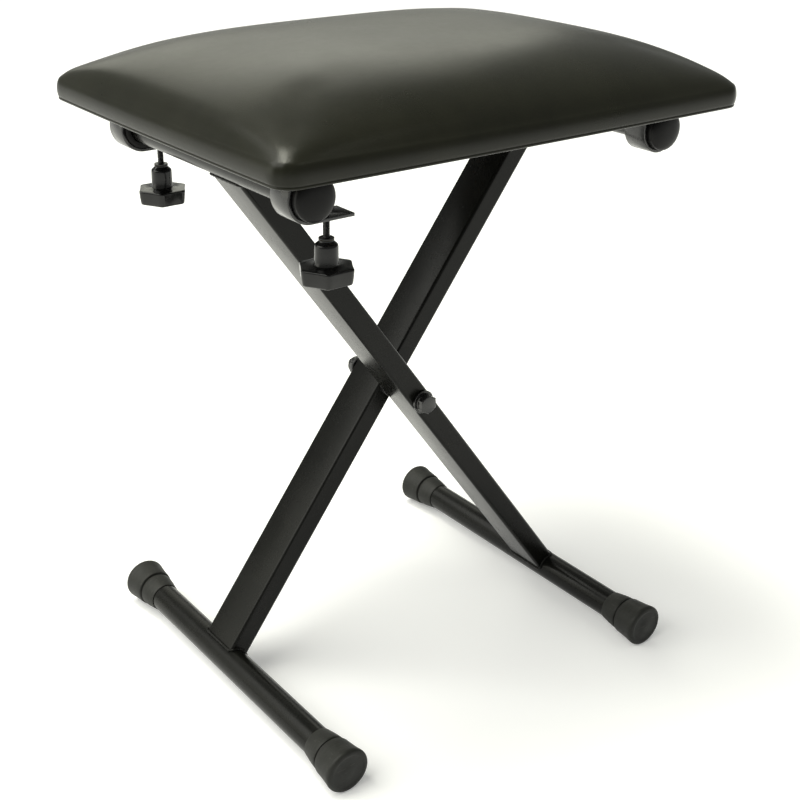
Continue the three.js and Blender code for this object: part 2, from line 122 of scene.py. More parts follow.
def studio():
    """A white floor in a dim room, a broad soft sun from the left and four softboxes."""
    world = bpy.data.worlds.new("studio_room")
    world.use_nodes = True
    room = world.node_tree.nodes["Background"]
    room.inputs["Color"].default_value = (0.98, 1.0, 0.95, 1)
    room.inputs["Strength"].default_value = 0.3
    scene = bpy.context.scene
    scene.world = world
    scene.view_settings.view_transform = "Standard"

    data = bpy.data.lights.new("soft_sun", "SUN")
    data.energy = 2.7
    data.angle = math.radians(60)
    data.color = (1.0, 1.0, 0.93)
    sun = bpy.data.objects.new("soft_sun", data)
    sun.matrix_world = aim(Vector((-0.75, 0.35, 1.0)).normalized()).to_4x4()
    bpy.context.scene.collection.objects.link(sun)

    softbox("overhead_softbox", (-0.3, 0.3, 2.2), 0.8, 0.6, 24)
    softbox("back_softbox", (1.25, 2.75, 1.8), 2.8, 1.3, 15.5)
    softbox("left_softbox", (-2.4, 1.4, 0.8), 1.6, 1.2, 9)
    softbox("front_softbox", (0.55, -1.1, 2.0), 0.4, 0.25, 1.2)

    half = 30
    mesh = bpy.data.meshes.new("studio_floor")
    corners = [(-half, -half, 0), (half, -half, 0), (half, half, 0), (-half, half, 0)]
    mesh.from_pydata(corners, [], [(0, 1, 2, 3)])
    floor = bpy.data.objects.new("studio_floor", mesh)
    floor.data.materials.append(floor_paint())
    bpy.context.scene.collection.objects.link(floor)


# ------------------------------------------------------------------- shader node kit


def add_node(tree, kind, **settings):
    node = tree.nodes.new(kind)
    for name, value in settings.items():
        setattr(node, name, value)
    return node


def wire(tree, *links):
    for source, target in links:
        tree.links.new(source, target)


def feed(tree, socket, value):
    """Links another socket to this one, or sets it to a number."""
    if isinstance(value, bpy.types.NodeSocket):
        tree.links.new(value, socket)
    else:
        socket.default_value = value


def maths(tree, operation, first, second, clamp=False):
    """A Math node between two sockets or numbers. Gives its output socket."""
    node = add_node(tree, "ShaderNodeMath", operation=operation, use_clamp=clamp)
    feed(tree, node.inputs[0], first)
    feed(tree, node.inputs[1], second)
    return node.outputs[0]


def plus(tree, first, second):
    return maths(tree, "ADD", first, second)


def times(tree, first, second, clamp=False):
    return maths(tree, "MULTIPLY", first, second, clamp)


def higher(tree, first, second):
    return maths(tree, "MAXIMUM", first, second)


def spread(tree, value, low, high, to_low=0.0, to_high=1.0):
    """A Map Range node that stretches low…high to to_low…to_high, clamped."""
    node = add_node(tree, "ShaderNodeMapRange")
    wire(tree, (value, node.inputs["Value"]))
    names = ("From Min", "From Max", "To Min", "To Max")
    for name, number in zip(names, (low, high, to_low, to_high)):
        feed(tree, node.inputs[name], number)
    return node.outputs["Result"]


def new_group(name, inputs, outputs):
    """An empty node group with float inputs {name: default} and float outputs [name]."""
    tree = bpy.data.node_groups.new(name, "ShaderNodeTree")
    for label, default in inputs.items():
        socket = tree.interface.new_socket(label, in_out="INPUT", socket_type="NodeSocketFloat")
        socket.default_value = default
    for label in outputs:
        tree.interface.new_socket(label, in_out="OUTPUT", socket_type="NodeSocketFloat")
    start = add_node(tree, "NodeGroupInput")
    end = add_node(tree, "NodeGroupOutput")
    return tree, start.outputs, end.inputs


def noise_of(tree, scale, detail=3.0, roughness=0.55, stretch=(1, 1, 1), offset=0.0):
    """Noise over the object's own coordinates, in metres. Gives the 0…1 output."""
    place = add_node(tree, "ShaderNodeTexCoord").outputs["Object"]
    mapping = add_node(tree, "ShaderNodeMapping")
    mapping.inputs["Scale"].default_value = stretch
    mapping.inputs["Location"].default_value = (offset, offset, offset)
    node = add_node(tree, "ShaderNodeTexNoise")
    node.inputs["Detail"].default_value = detail
    node.inputs["Roughness"].default_value = roughness
    wire(tree, (place, mapping.inputs["Vector"]), (mapping.outputs[0], node.inputs["Vector"]))
    feed(tree, node.inputs["Scale"], scale)
    return node.outputs["Fac"]


def worn_edges_group():
    """Mask of the outer edges, broken up as rubbing breaks them up."""
    tree, inputs, outputs = new_group(
        "worn_edges", {"Edge Width": mm(1.2), "Break Up": 260.0, "Amount": 1.0}, ["Mask"]
    )
    bevel = add_node(tree, "ShaderNodeBevel", samples=4)
    surface = add_node(tree, "ShaderNodeNewGeometry")
    agree = add_node(tree, "ShaderNodeVectorMath", operation="DOT_PRODUCT")
    wire(
        tree,
        (inputs["Edge Width"], bevel.inputs["Radius"]),
        (bevel.outputs["Normal"], agree.inputs[0]),
        (surface.outputs["Normal"], agree.inputs[1]),
    )
    edge = spread(tree, agree.outputs["Value"], 0.995, 0.90)
    patches = spread(tree, noise_of(tree, inputs["Break Up"], 4.0, 0.65), 0.46, 0.62)
    outer = spread(tree, surface.outputs["Pointiness"], 0.47, 0.53)
    rubbed = times(tree, times(tree, edge, patches), outer)
    wire(tree, (times(tree, rubbed, inputs["Amount"], clamp=True), outputs["Mask"]))
    return tree


def settled_dust_group():
    """Mask of the dust that settles on surfaces that face up."""
    tree, inputs, outputs = new_group(
        "settled_dust", {"Patch Scale": 40.0, "Amount": 0.2}, ["Mask"]
    )
    split = add_node(tree, "ShaderNodeSeparateXYZ")
    surface = add_node(tree, "ShaderNodeNewGeometry")
    wire(tree, (surface.outputs["Normal"], split.inputs[0]))
    upward = spread(tree, split.outputs["Z"], 0.15, 1.0)
    patches = spread(tree, noise_of(tree, inputs["Patch Scale"], 5.0, 0.6, offset=3.0), 0.35, 0.75)
    specks = spread(tree, noise_of(tree, 1900.0, 1.0, 0.5, offset=8.0), 0.62, 0.72)
    film = higher(tree, times(tree, patches, 0.5), specks)
    settled = times(tree, times(tree, upward, film), inputs["Amount"])
    wire(tree, (settled, outputs["Mask"]))
    return tree


def handled_sheen_group():
    """Roughness that wanders between two values in broad smudges and fine scuffs."""
    tree, inputs, outputs = new_group(
        "handled_sheen", {"Smudge Scale": 18.0, "Smooth": 0.3, "Rough": 0.45}, ["Roughness"]
    )
    broad = noise_of(tree, inputs["Smudge Scale"], 4.0, 0.6, offset=1.0)
    fine = noise_of(tree, times(tree, inputs["Smudge Scale"], 22.0), 2.0, 0.5)
    blend = plus(tree, times(tree, broad, 0.75), times(tree, fine, 0.25))
    roughness = spread(tree, blend, 0.3, 0.7, inputs["Smooth"], inputs["Rough"])
    wire(tree, (roughness, outputs["Roughness"]))
    return tree


def orange_peel_group():
    """Height of a sprayed or moulded skin: a low ripple with a finer grain on it."""
    scales = {"Ripple Scale": 420.0, "Grain Scale": 1900.0, "Grain Share": 0.35}
    tree, inputs, outputs = new_group("orange_peel", scales, ["Height"])
    ripple = noise_of(tree, inputs["Ripple Scale"], 2.0, 0.5)
    grain = noise_of(tree, inputs["Grain Scale"], 1.0, 0.5, offset=5.0)
    both = plus(tree, ripple, times(tree, grain, inputs["Grain Share"]))
    wire(tree, (both, outputs["Height"]))
    return tree


def scratches_group():
    """Mask of fine scratches that run along two crossing directions."""
    tree, inputs, outputs = new_group("scratches", {"Scale": 60.0, "Amount": 0.3}, ["Mask"])
    across = noise_of(tree, inputs["Scale"], 2.0, 0.5, stretch=(1.0, 14.0, 9.0))
    along = noise_of(tree, inputs["Scale"], 2.0, 0.5, stretch=(12.0, 1.0, 10.0), offset=2.0)
    lines = higher(tree, spread(tree, across, 0.66, 0.72), spread(tree, along, 0.68, 0.74))
    wire(tree, (times(tree, lines, inputs["Amount"]), outputs["Mask"]))
    return tree


GROUPS = {
    tree.name: tree
    for tree in (
        worn_edges_group(),
        settled_dust_group(),
        handled_sheen_group(),
        orange_peel_group(),
        scratches_group(),
    )
}


def use_group(tree, name, **values):
    """A group placed in a material; values are its inputs with _ for spaces."""
    node = add_node(tree, "ShaderNodeGroup", node_tree=GROUPS[name])
    for label, value in values.items():
        node.inputs[label.replace("_", " ").title()].default_value = value
    return node.outputs[0]


def new_finish(name, **settings):
    """A material with one Principled BSDF; settings are its sockets with _ for spaces."""
    material = bpy.data.materials.new(name)
    material.use_nodes = True
    tree = material.node_tree
    shader = tree.nodes["Principled BSDF"]
    for label, value in settings.items():
        wanted = label.replace("_", " ").lower()
        socket = next(s for s in shader.inputs if s.name.lower() == wanted)
        socket.default_value = value
    return material, tree, shader.inputs


def tint(tree, mask, under, over):
    """A colour that goes from `under` to `over` with the mask; either may be a socket."""
    node = add_node(tree, "ShaderNodeMix", data_type="RGBA")
    wire(tree, (mask, node.inputs["Factor"]))
    for socket, colour in ((node.inputs[6], under), (node.inputs[7], over)):
        if isinstance(colour, bpy.types.NodeSocket):
            tree.links.new(colour, socket)
        else:
            socket.default_value = (*colour, 1)
    return node.outputs[2]


def mottled(tree, scale, detail, under, over):
    """A colour that wanders between two in soft patches."""
    return tint(tree, spread(tree, noise_of(tree, scale, detail, 0.6), 0.3, 0.7), under, over)


def emboss(tree, shader, height, distance, strength=1.0):
    bump = add_node(tree, "ShaderNodeBump")
    bump.inputs["Distance"].default_value = distance
    bump.inputs["Strength"].default_value = strength
    wire(tree, (height, bump.inputs["Height"]), (bump.outputs[0], shader["Normal"]))


# ------------------------------------------------------------------------- materials


def floor_paint():
    material, tree, shader = new_finish("studio_floor_paint", roughness=0.9)
    mottle = spread(tree, noise_of(tree, 3.0), 0.3, 0.7)
    paint = tint(tree, mottle, (0.9, 0.9, 0.9), (0.93, 0.93, 0.93))
    wire(tree, (paint, shader["Base Color"]), (paint, shader["Emission Color"]))
    shader["Emission Strength"].default_value = 0.22
    return material


def powder_coat():
    """Satin black powder coat: orange peel, rubbed edges, a little dust on top."""
    material, tree, shader = new_finish("black_powder_coat", ior=1.25)
    paint = mottled(tree, 30.0, 5.0, (0.0030, 0.0031, 0.0026), (0.0055, 0.0056, 0.0046))
    worn = use_group(tree, "worn_edges", edge_width=mm(1.0), break_up=190.0, amount=0.55)
    paint = tint(tree, worn, paint, (0.05, 0.05, 0.05))
    dust = use_group(tree, "settled_dust", patch_scale=35.0, amount=0.02)
    paint = tint(tree, dust, paint, (0.32, 0.31, 0.27))
    sheen = use_group(tree, "handled_sheen", smudge_scale=14.0, smooth=0.2, rough=0.32)
    wire(tree, (paint, shader["Base Color"]), (plus(tree, sheen, dust), shader["Roughness"]))
    emboss(tree, shader, use_group(tree, "orange_peel", ripple_scale=420.0), mm(0.05), 0.25)
    return material


def cap_rubber():
    """Moulded rubber: matt, faintly streaked round the mould, dusty and scuffed."""
    material, tree, shader = new_finish("cap_rubber", ior=1.36)
    streaks = spread(tree, noise_of(tree, 90.0, 3.0, 0.6, stretch=(1, 6, 1)), 0.3, 0.7)
    rubber = tint(tree, streaks, (0.0068, 0.0072, 0.0058), (0.0115, 0.0120, 0.0098))
    scuffs = use_group(tree, "scratches", scale=70.0, amount=0.35)
    rubber = tint(tree, scuffs, rubber, (0.06, 0.06, 0.055))
    dust = use_group(tree, "settled_dust", patch_scale=60.0, amount=0.05)
    rubber = tint(tree, dust, rubber, (0.3, 0.29, 0.26))
    sheen = use_group(tree, "handled_sheen", smudge_scale=30.0, smooth=0.46, rough=0.62)
    wire(tree, (rubber, shader["Base Color"]), (sheen, shader["Roughness"]))
    peel = use_group(tree, "orange_peel", ripple_scale=700.0, grain_scale=2600.0, grain_share=0.6)
    emboss(tree, shader, peel, mm(0.08), 0.6)
    return material


def moulded_plastic(name, ior, smooth, rough, dark, light):
    """Black moulded plastic: satin or glossy by its roughness values."""
    material, tree, shader = new_finish(name, ior=ior)
    plastic = mottled(tree, 50.0, 4.0, (dark,) * 3, (light,) * 3)
    worn = use_group(tree, "worn_edges", edge_width=mm(0.8), break_up=330.0, amount=0.4)
    plastic = tint(tree, worn, plastic, (0.05, 0.05, 0.05))
    sheen = use_group(tree, "handled_sheen", smudge_scale=40.0, smooth=smooth, rough=rough)
    scuffs = use_group(tree, "scratches", scale=110.0, amount=0.18)
    wire(tree, (plastic, shader["Base Color"]), (plus(tree, sheen, scuffs), shader["Roughness"]))
    emboss(tree, shader, use_group(tree, "orange_peel", ripple_scale=900.0), mm(0.02), 0.5)
    return material


def black_steel():
    """Gloss black steel for the straps, rails and nuts, with bright rubbed edges."""
    material, tree, shader = new_finish("black_steel", ior=1.55)
    steel = mottled(tree, 70.0, 4.0, (0.008, 0.008, 0.009), (0.014, 0.014, 0.014))
    worn = use_group(tree, "worn_edges", edge_width=mm(0.6), break_up=420.0, amount=0.8)
    steel = tint(tree, worn, steel, (0.16, 0.155, 0.15))
    sheen = use_group(tree, "handled_sheen", smudge_scale=45.0, smooth=0.16, rough=0.34)
    wire(
        tree,
        (steel, shader["Base Color"]),
        (sheen, shader["Roughness"]),
        (times(tree, worn, 0.7), shader["Metallic"]),
    )
    emboss(tree, shader, use_group(tree, "orange_peel", ripple_scale=1100.0), mm(0.02), 0.5)
    return material


def plated_metal(name, light, dark, smooth, rough):
    """Black zinc plate or brass: brushed by scratches, stained by handling."""
    material, tree, shader = new_finish(name, metallic=1.0)
    stain = spread(tree, noise_of(tree, 130.0, 5.0, 0.65), 0.35, 0.7)
    metal = tint(tree, stain, light, dark)
    scuffs = use_group(tree, "scratches", scale=160.0, amount=0.4)
    metal = tint(tree, scuffs, metal, tuple(min(c * 1.5, 1) for c in light))
    sheen = use_group(tree, "handled_sheen", smudge_scale=90.0, smooth=smooth, rough=rough)
    wire(tree, (metal, shader["Base Color"]), (sheen, shader["Roughness"]))
    emboss(tree, shader, use_group(tree, "orange_peel", ripple_scale=1500.0), mm(0.02), 0.5)
    return material


def black_vinyl():
    """Satin black vinyl with a fine leather grain."""
    material, tree, shader = new_finish("black_vinyl", ior=1.31)
    skin = mottled(tree, 22.0, 4.0, (0.0066, 0.0068, 0.0032), (0.0100, 0.0102, 0.0052))
    dust = use_group(tree, "settled_dust", patch_scale=18.0, amount=0.02)
    skin = tint(tree, dust, skin, (0.34, 0.33, 0.27))
    sheen = use_group(tree, "handled_sheen", smudge_scale=9.0, smooth=0.26, rough=0.34)
    wire(tree, (skin, shader["Base Color"]), (sheen, shader["Roughness"]))

    cells = add_node(tree, "ShaderNodeTexVoronoi", feature="DISTANCE_TO_EDGE")
    cells.inputs["Scale"].default_value = 620.0
    place = add_node(tree, "ShaderNodeTexCoord").outputs["Object"]
    wire(tree, (place, cells.inputs["Vector"]))
    pebbles = spread(tree, cells.outputs["Distance"], 0.0, 0.18)
    wander = times(tree, noise_of(tree, 160.0, 3.0, 0.6), 0.8)
    emboss(tree, shader, plus(tree, pebbles, wander), mm(0.06), 0.35)
    return material


def plywood():
    """Rotary-cut plywood: long grain on the faces, thin plies down the edge."""
    material, tree, shader = new_finish("plywood", roughness=0.72)
    grain = noise_of(tree, 30.0, 6.0, 0.65, stretch=(1, 14, 1))
    face = tint(tree, spread(tree, grain, 0.3, 0.7), (0.50, 0.33, 0.17), (0.34, 0.20, 0.09))
    plies = noise_of(tree, 45.0, 1.0, 0.5, stretch=(0.2, 0.2, 16))
    wood = tint(tree, times(tree, spread(tree, plies, 0.4, 0.6), 0.35), face, (0.22, 0.12, 0.05))
    wire(tree, (wood, shader["Base Color"]))
    emboss(tree, shader, grain, mm(0.2), 0.6)
    return material


def felted_cloth():
    """Thin black non-woven cloth: pressed dimples over a mat of fibres."""
    material, tree, shader = new_finish("dust_cloth", roughness=0.95, sheen_weight=0.15)
    fibres = noise_of(tree, 500.0, 4.0, 0.75, stretch=(1, 5, 1))
    crossing = noise_of(tree, 500.0, 4.0, 0.75, stretch=(5, 1, 1), offset=4.0)
    mat = higher(tree, fibres, crossing)
    black = tint(tree, spread(tree, mat, 0.4, 0.75), (0.008,) * 3, (0.035,) * 3)
    wire(tree, (black, shader["Base Color"]))
    dimples = add_node(tree, "ShaderNodeTexVoronoi")
    dimples.inputs["Scale"].default_value = 420.0
    dimples.inputs["Randomness"].default_value = 0.15
    place = add_node(tree, "ShaderNodeTexCoord").outputs["Object"]
    wire(tree, (place, dimples.inputs["Vector"]))
    pressed = spread(tree, dimples.outputs["Distance"], 0.1, 0.5)
    emboss(tree, shader, plus(tree, pressed, times(tree, mat, 0.5)), mm(0.25), 0.7)
    return material


FINISHES = {
    "powder_coat": powder_coat(),
    "cap_rubber": cap_rubber(),
    "sleeve_plastic": moulded_plastic("sleeve_plastic", 1.25, 0.3, 0.42, 0.0022, 0.004),
    "knob_plastic": moulded_plastic("knob_plastic", 1.4, 0.14, 0.24, 0.004, 0.006),
    "black_steel": black_steel(),
    "zinc_steel": plated_metal("zinc_steel", (0.07, 0.07, 0.068), (0.04, 0.04, 0.038), 0.28, 0.45),
    "brass": plated_metal("brass", (0.75, 0.52, 0.22), (0.5, 0.32, 0.12), 0.22, 0.38),
    "vinyl": black_vinyl(),
    "plywood": plywood(),
    "dust_cloth": felted_cloth(),
}


# ---------------------------------------------------------------------- mesh helpers


def lone_object(name, bm):
    """A linked object that holds the bmesh, with its faces pointing outwards."""
    bmesh.ops.recalc_face_normals(bm, faces=bm.faces)
    mesh = bpy.data.meshes.new(name)
    bm.to_mesh(mesh)
    bm.free()
    piece = bpy.data.objects.new(name, mesh)
    bpy.context.scene.collection.objects.link(piece)
    return piece


def apply_modifiers(piece):
    """The piece keeps the shape that its modifiers gave it, and the modifiers go."""
    graph = bpy.context.evaluated_depsgraph_get()
    shaped = bpy.data.meshes.new_from_object(piece.evaluated_get(graph))
    piece.modifiers.clear()
    piece.data = shaped


def round_edges(piece, width, segments=2, angle=SHARP):
    """Rounds every edge that turns more than the angle."""
    bevel = piece.modifiers.new("rounded_edges", "BEVEL")
    bevel.width = mm(width)
    bevel.segments = segments
    bevel.limit_method = "ANGLE"
    bevel.angle_limit = angle
    bevel.use_clamp_overlap = True
    apply_modifiers(piece)


def cut_away(piece, *tools):
    """Cuts each tool's shape out of the piece and deletes the tool."""
    for tool in tools:
        cut = piece.modifiers.new("cut", "BOOLEAN")
        cut.operation = "DIFFERENCE"
        cut.solver = "EXACT"
        cut.object = tool
        apply_modifiers(piece)
        bpy.data.objects.remove(tool)


def finished(piece, slot, body, *nodes, smooth=SHARP):
    """Gives the piece its finish and body, and hides the CAD nodes it stands for."""
    piece.data.materials.clear()
    piece.data.materials.append(FINISHES[slot])
    bm = bmesh.new()
    bm.from_mesh(piece.data)
    for face in bm.faces:
        face.smooth = True
    for edge in bm.edges:
        edge.smooth = edge.is_manifold and edge.calc_face_angle(math.pi) < smooth
    bm.to_mesh(piece.data)
    bm.free()
    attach(piece, body)
    if nodes:
        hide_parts(*nodes)
    return piece


def ring_shell(rings, closed=False):
    """A bmesh of quads between rings of points. A ring of one point is a pole; when
    closed, the last ring joins the first; else an end ring of more points is capped."""
    bm = bmesh.new()
    loops = [[bm.verts.new(p) for p in ring] for ring in rings]
    pairs = list(zip(loops, loops[1:]))
    if closed:
        pairs.append((loops[-1], loops[0]))
    for first, second in pairs:
        count = max(len(first), len(second))
        for i in range(count):
            j = (i + 1) % count
            corners = [first[i % len(first)], first[j % len(first)]]
            corners += [second[j % len(second)], second[i % len(second)]]
            bm.faces.new(list(dict.fromkeys(corners)))
    if not closed:
        for loop in (loops[0], loops[-1]):
            if len(loop) > 2:
                bm.faces.new(loop)
    return bm


AXES = {  # the along, and the two across directions of a turned piece
    "y": (Vector((0, 1, 0)), Vector((0, 0, 1)), Vector((1, 0, 0))),
    "-y": (Vector((0, -1, 0)), Vector((0, 0, 1)), Vector((-1, 0, 0))),
    "z": (Vector((0, 0, 1)), Vector((1, 0, 0)), Vector((0, 1, 0))),
}


def around(centre, across, aside, radius, sides):
    """Points of a ring; its radius is in mm and may be a function of the angle."""
    points = []
    for i in range(sides):
        turn = 2 * math.pi * i / sides
        reach = radius(turn) if callable(radius) else radius
        points.append(centre + (across * math.cos(turn) + aside * math.sin(turn)) * mm(reach))
    return points


def turned(name, profile, centre, axis="y", sides=ROUND, closed=False):
    """A piece turned about a line: profile points are (radius, place along) in mm."""
    along, across, aside = AXES[axis]
    rings = []
    for radius, place in profile:
        middle = centre + along * mm(place)
        rings.append(around(middle, across, aside, radius, sides) if radius else [middle])
    return lone_object(name, ring_shell(rings, closed))


def rounded_corner(centre, radius, start, end, steps=5):
    """Points of an arc in the profile plane, in mm and degrees."""
    angles = [math.radians(start + (end - start) * i / steps) for i in range(steps + 1)]
    return [(centre[0] + radius * math.cos(a), centre[1] + radius * math.sin(a)) for a in angles]


def prism(name, outline, low, high, direction, across, aside, centre):
    """An outline of (across, aside) points in mm pushed from low to high along a line."""
    rings = []
    for place in (low, high):
        middle = centre + direction * mm(place)
        rings.append([middle + across * mm(u) + aside * mm(v) for u, v in outline])
    return lone_object(name, ring_shell(rings))


def upright(name, outline, low, high, centre):
    """An outline of (x, y) points pushed up from low to high."""
    return prism(name, outline, low, high, *AXES["z"], centre)


def many_sided(radius, sides):
    """Corners of a regular outline."""
    angles = [2 * math.pi * i / sides for i in range(sides)]
    return [(radius * math.cos(a), radius * math.sin(a)) for a in angles]


def rectangle(half_width, half_height):
    u, v = half_width, half_height
    return [(-u, -v), (u, -v), (u, v), (-u, v)]


def path_normals(path):
    """The unit normal at each point of an open path in a plane."""
    normals = []
    for before, after in zip(path[:1] + path, path[1:] + path[-1:]):
        run = math.hypot(after[0] - before[0], after[1] - before[1])
        normals.append(((before[1] - after[1]) / run, (after[0] - before[0]) / run))
    return normals


def rod_tool(radius, low, high, centre, axis="z"):
    """A plain round cutter."""
    return turned("cutter", [(radius, low), (radius, high)], centre, axis, SMALL)


def merged(name, pieces):
    """One piece made of several; the parts go."""
    bm = bmesh.new()
    for piece in pieces:
        bm.from_mesh(piece.data)
        bpy.data.objects.remove(piece)
    return lone_object(name, bm)


# ------------------------------------------------------------------------ leg frames

LEG = {"width": 40.0, "depth": 19.0, "wall": 1.5, "corner": 2.5}
GAP = 0.3
SLEEVE_RADIUS = 15.6
BOLT_RADIUS = 5.0
BOLT_HOLE = 5.3  # radius in the legs, washers and spacer
HEX_CORNER = 8.6  # radius at the corners of the bolt's head and the nut

FRAMES = {  # side of the foot, and the names of the two tubes
    "rear_leg": (-1, "rear_frame", "left_foot", "right_cross_tube"),
    "front_leg": (1, "front_frame", "right_foot", "left_cross_tube"),
}


def rounded_rectangle(width, height, radius, steps=6):
    x, y = width / 2 - radius, height / 2 - radius
    outline = []
    for cx, cy, start in ((x, y, 0), (-x, y, 90), (-x, -y, 180), (x, -y, 270)):
        outline += rounded_corner((cx, cy), radius, start, start + 90, steps)
    return outline


def leg_axes(leg):
    """Foot centre, direction up the leg, direction across its thin side, length in mm."""
    foot = box_centre(FRAMES[leg][2])
    cross = box_centre(FRAMES[leg][3])
    foot.y = cross.y = box_centre(leg).y
    along = (cross - foot).normalized()
    thin = Vector((0, 1, 0)).cross(along)
    return foot, along, thin, (cross - foot).length * 1000


def leg_tube(leg):
    """The rectangular tube, coped to the round tubes and drilled for the pivot bolt."""
    foot, along, thin, length = leg_axes(leg)
    aside = Vector((0, 1, 0))
    rings = []
    for inset, ends in ((0.0, (0.0, length)), (LEG["wall"], (length, 0.0))):
        width, depth = LEG["width"] - 2 * inset, LEG["depth"] - 2 * inset
        outline = rounded_rectangle(depth, width, LEG["corner"] - inset)
        for place in ends:
            middle = foot + along * mm(place)
            rings.append([middle + thin * mm(u) + aside * mm(v) for u, v in outline])
    tube = lone_object(leg + "_tube", ring_shell(rings, closed=True))
    foot_radius = box_size(FRAMES[leg][2]).z * 500
    cross_radius = box_size(FRAMES[leg][3]).z * 500
    reach = LEG["width"]
    cut_away(
        tube,
        rod_tool(foot_radius + GAP, -reach, reach, foot, "y"),
        rod_tool(cross_radius + GAP, -reach, reach, foot + along * mm(length), "y"),
        rod_tool(BOLT_HOLE, -reach, reach, foot + along * mm(length / 2), "y"),
    )
    return finished(tube, "powder_coat", FRAMES[leg][1], leg)


def weld_bead(name, leg, tube, at_foot):
    """A rippled bead of weld round the joint between a leg and a round tube."""
    foot, along, thin, length = leg_axes(leg)
    middle = foot if at_foot else foot + along * mm(length)
    away = along if at_foot else -along
    outline = rounded_rectangle(LEG["depth"] + 1.0, LEG["width"] + 1.0, LEG["corner"] + 0.5, 4)
    seat_radius = box_size(tube).z * 500 + 0.6
    step = 0.8
    path = []
    for (u0, v0), (u1, v1) in zip(outline, outline[1:] + outline[:1]):
        steps = max(1, round(math.hypot(u1 - u0, v1 - v0) / step))
        for i in range(steps):
            u, v = u0 + (u1 - u0) * i / steps, v0 + (v1 - v0) * i / steps
            rise = math.sqrt(max(seat_radius ** 2 - u * u, 0))
            path.append(middle + thin * mm(u) + Vector((0, mm(v), 0)) + away * mm(rise))
    rings = []
    for i, point in enumerate(path):
        travel = (path[(i + 1) % len(path)] - path[i - 1]).normalized()
        outward = (point - middle - away * (point - middle).dot(away)).normalized()
        side = travel.cross(outward).normalized()
        outward = side.cross(travel)
        ripple = 1.15 + 0.25 * math.sin(i * 1.9) + 0.3 * noise.noise(point * 400)
        rings.append(around(point, outward, side, ripple, 10))
    bead = lone_object(name, ring_shell(rings, closed=True))
    return finished(bead, "powder_coat", FRAMES[leg][1], smooth=math.pi)


def round_tube(node, body, wall=1.5):
    """A foot or cross tube, with its cut ends eased."""
    radius = box_size(node).z * 500
    half = box_size(node).y * 500
    ease = 0.4
    profile = [
        (radius - wall + ease, -half), (radius - ease, -half), (radius, -half + ease),
        (radius, -half / 3), (radius, half / 3),
        (radius, half - ease), (radius - ease, half), (radius - wall + ease, half),
        (radius - wall, half - ease), (radius - wall, -half + ease),
    ]
    tube = turned(node + "_tube", profile, box_centre(node), closed=True)
    return finished(tube, "powder_coat", body, node)


def foot_cap(node, body, end):
    """A flared rubber cap: a neck on the tube, a dark groove, then the bell, whose
    underside is a flat sole with tread grooves."""
    low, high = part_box(node)
    radius = (high.x - low.x) * 500
    bore, drawn_radius = 12.8, 19.0
    centre = Vector(((low.x + high.x) / 2, high.y if end > 0 else low.y, high.z - mm(radius)))
    profile = [
        (0, -3.5), (bore - 0.5, -3.5), (bore, -4), (bore, -41.8),
        (12.95, -42), (13.15, -41.9), (13.3, -41.4),
        (13.9, -38), (14.7, -34), (15.3, -30), (15.6, -27), (15.65, -26), (15.4, -25.2),
        (14.6, -24.8), (14.6, -23.4), (15.9, -23.1),
        (16.5, -22.7), (16.8, -21.6),
        (17.2, -17), (17.8, -11), (18.5, -6.2), (18.9, -4.2), (drawn_radius, -3.2),
        (18.9, -2.1), (18.4, -1.1), (17.4, -0.35), (16.0, -0.03),
        (15.0, 0.0), (14.2, -0.35), (13.4, -0.4), (6.0, -0.4), (5.2, -0.05), (0, 0.0),
    ]
    scale = radius / drawn_radius
    profile = [(r * scale, y) for r, y in profile]
    cap = turned(node + "_moulding", profile, centre, "y" if end > 0 else "-y")
    sole = Vector((centre.x, centre.y, low.z))
    reach = 60
    cut_away(cap, upright("cutter", rectangle(reach, reach), -reach, 0, sole))
    first, spacing, half_width, depth = 4.0, 3.4, 0.55, 0.8
    for i in range(5):
        middle = sole - Vector((0, end * mm(first + spacing * i), 0))
        cut_away(cap, upright("cutter", rectangle(reach, half_width), -1, depth, middle))
    return finished(cap, "cap_rubber", body, node, smooth=math.radians(38))


def tube_sleeve(node, body, end):
    """A thick plastic sleeve with a domed end and a fine mould line round the dome."""
    low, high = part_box(node)
    radius = (high.z - low.z) * 500
    length = (high.y - low.y) * 1000
    bore, end_wall, dome, dome_steps = 11.3, 7.0, 5.0, 8
    centre = Vector(((low.x + high.x) / 2, high.y if end > 0 else low.y, (low.z + high.z) / 2))
    profile = [
        (0, -end_wall), (bore, -end_wall), (bore, -length + 0.4), (bore + 0.4, -length),
        (radius - 1.2, -length), (radius - 0.4, -length + 0.4), (radius, -length + 1.2),
        (radius, -length * 0.55), (radius, -dome - 2.3),
        (radius - 0.25, -dome - 2.0), (radius - 0.25, -dome - 1.5), (radius, -dome - 1.2),
    ]
    for i in range(dome_steps):
        turn = math.pi / 2 * i / dome_steps
        profile.append((radius * math.cos(turn) ** 0.85, dome * (math.sin(turn) - 1)))
    profile.append((0, 0))
    sleeve = turned(node + "_moulding", profile, centre, "y" if end > 0 else "-y")
    return finished(sleeve, "sleeve_plastic", body, node)


def leg_frames():
    for leg, (_, body, foot, cross) in FRAMES.items():
        leg_tube(leg)
        round_tube(foot, body)
        round_tube(cross, body)
        weld_bead(foot + "_weld", leg, foot, True)
        weld_bead(cross + "_weld", leg, cross, False)
        for name, end in ENDS.items():
            foot_cap(f"{foot}_cap_{name}", body, end)
            tube_sleeve(f"{cross}_sleeve_{name}", body, end)


# ----------------------------------------------------------------------------- pivot


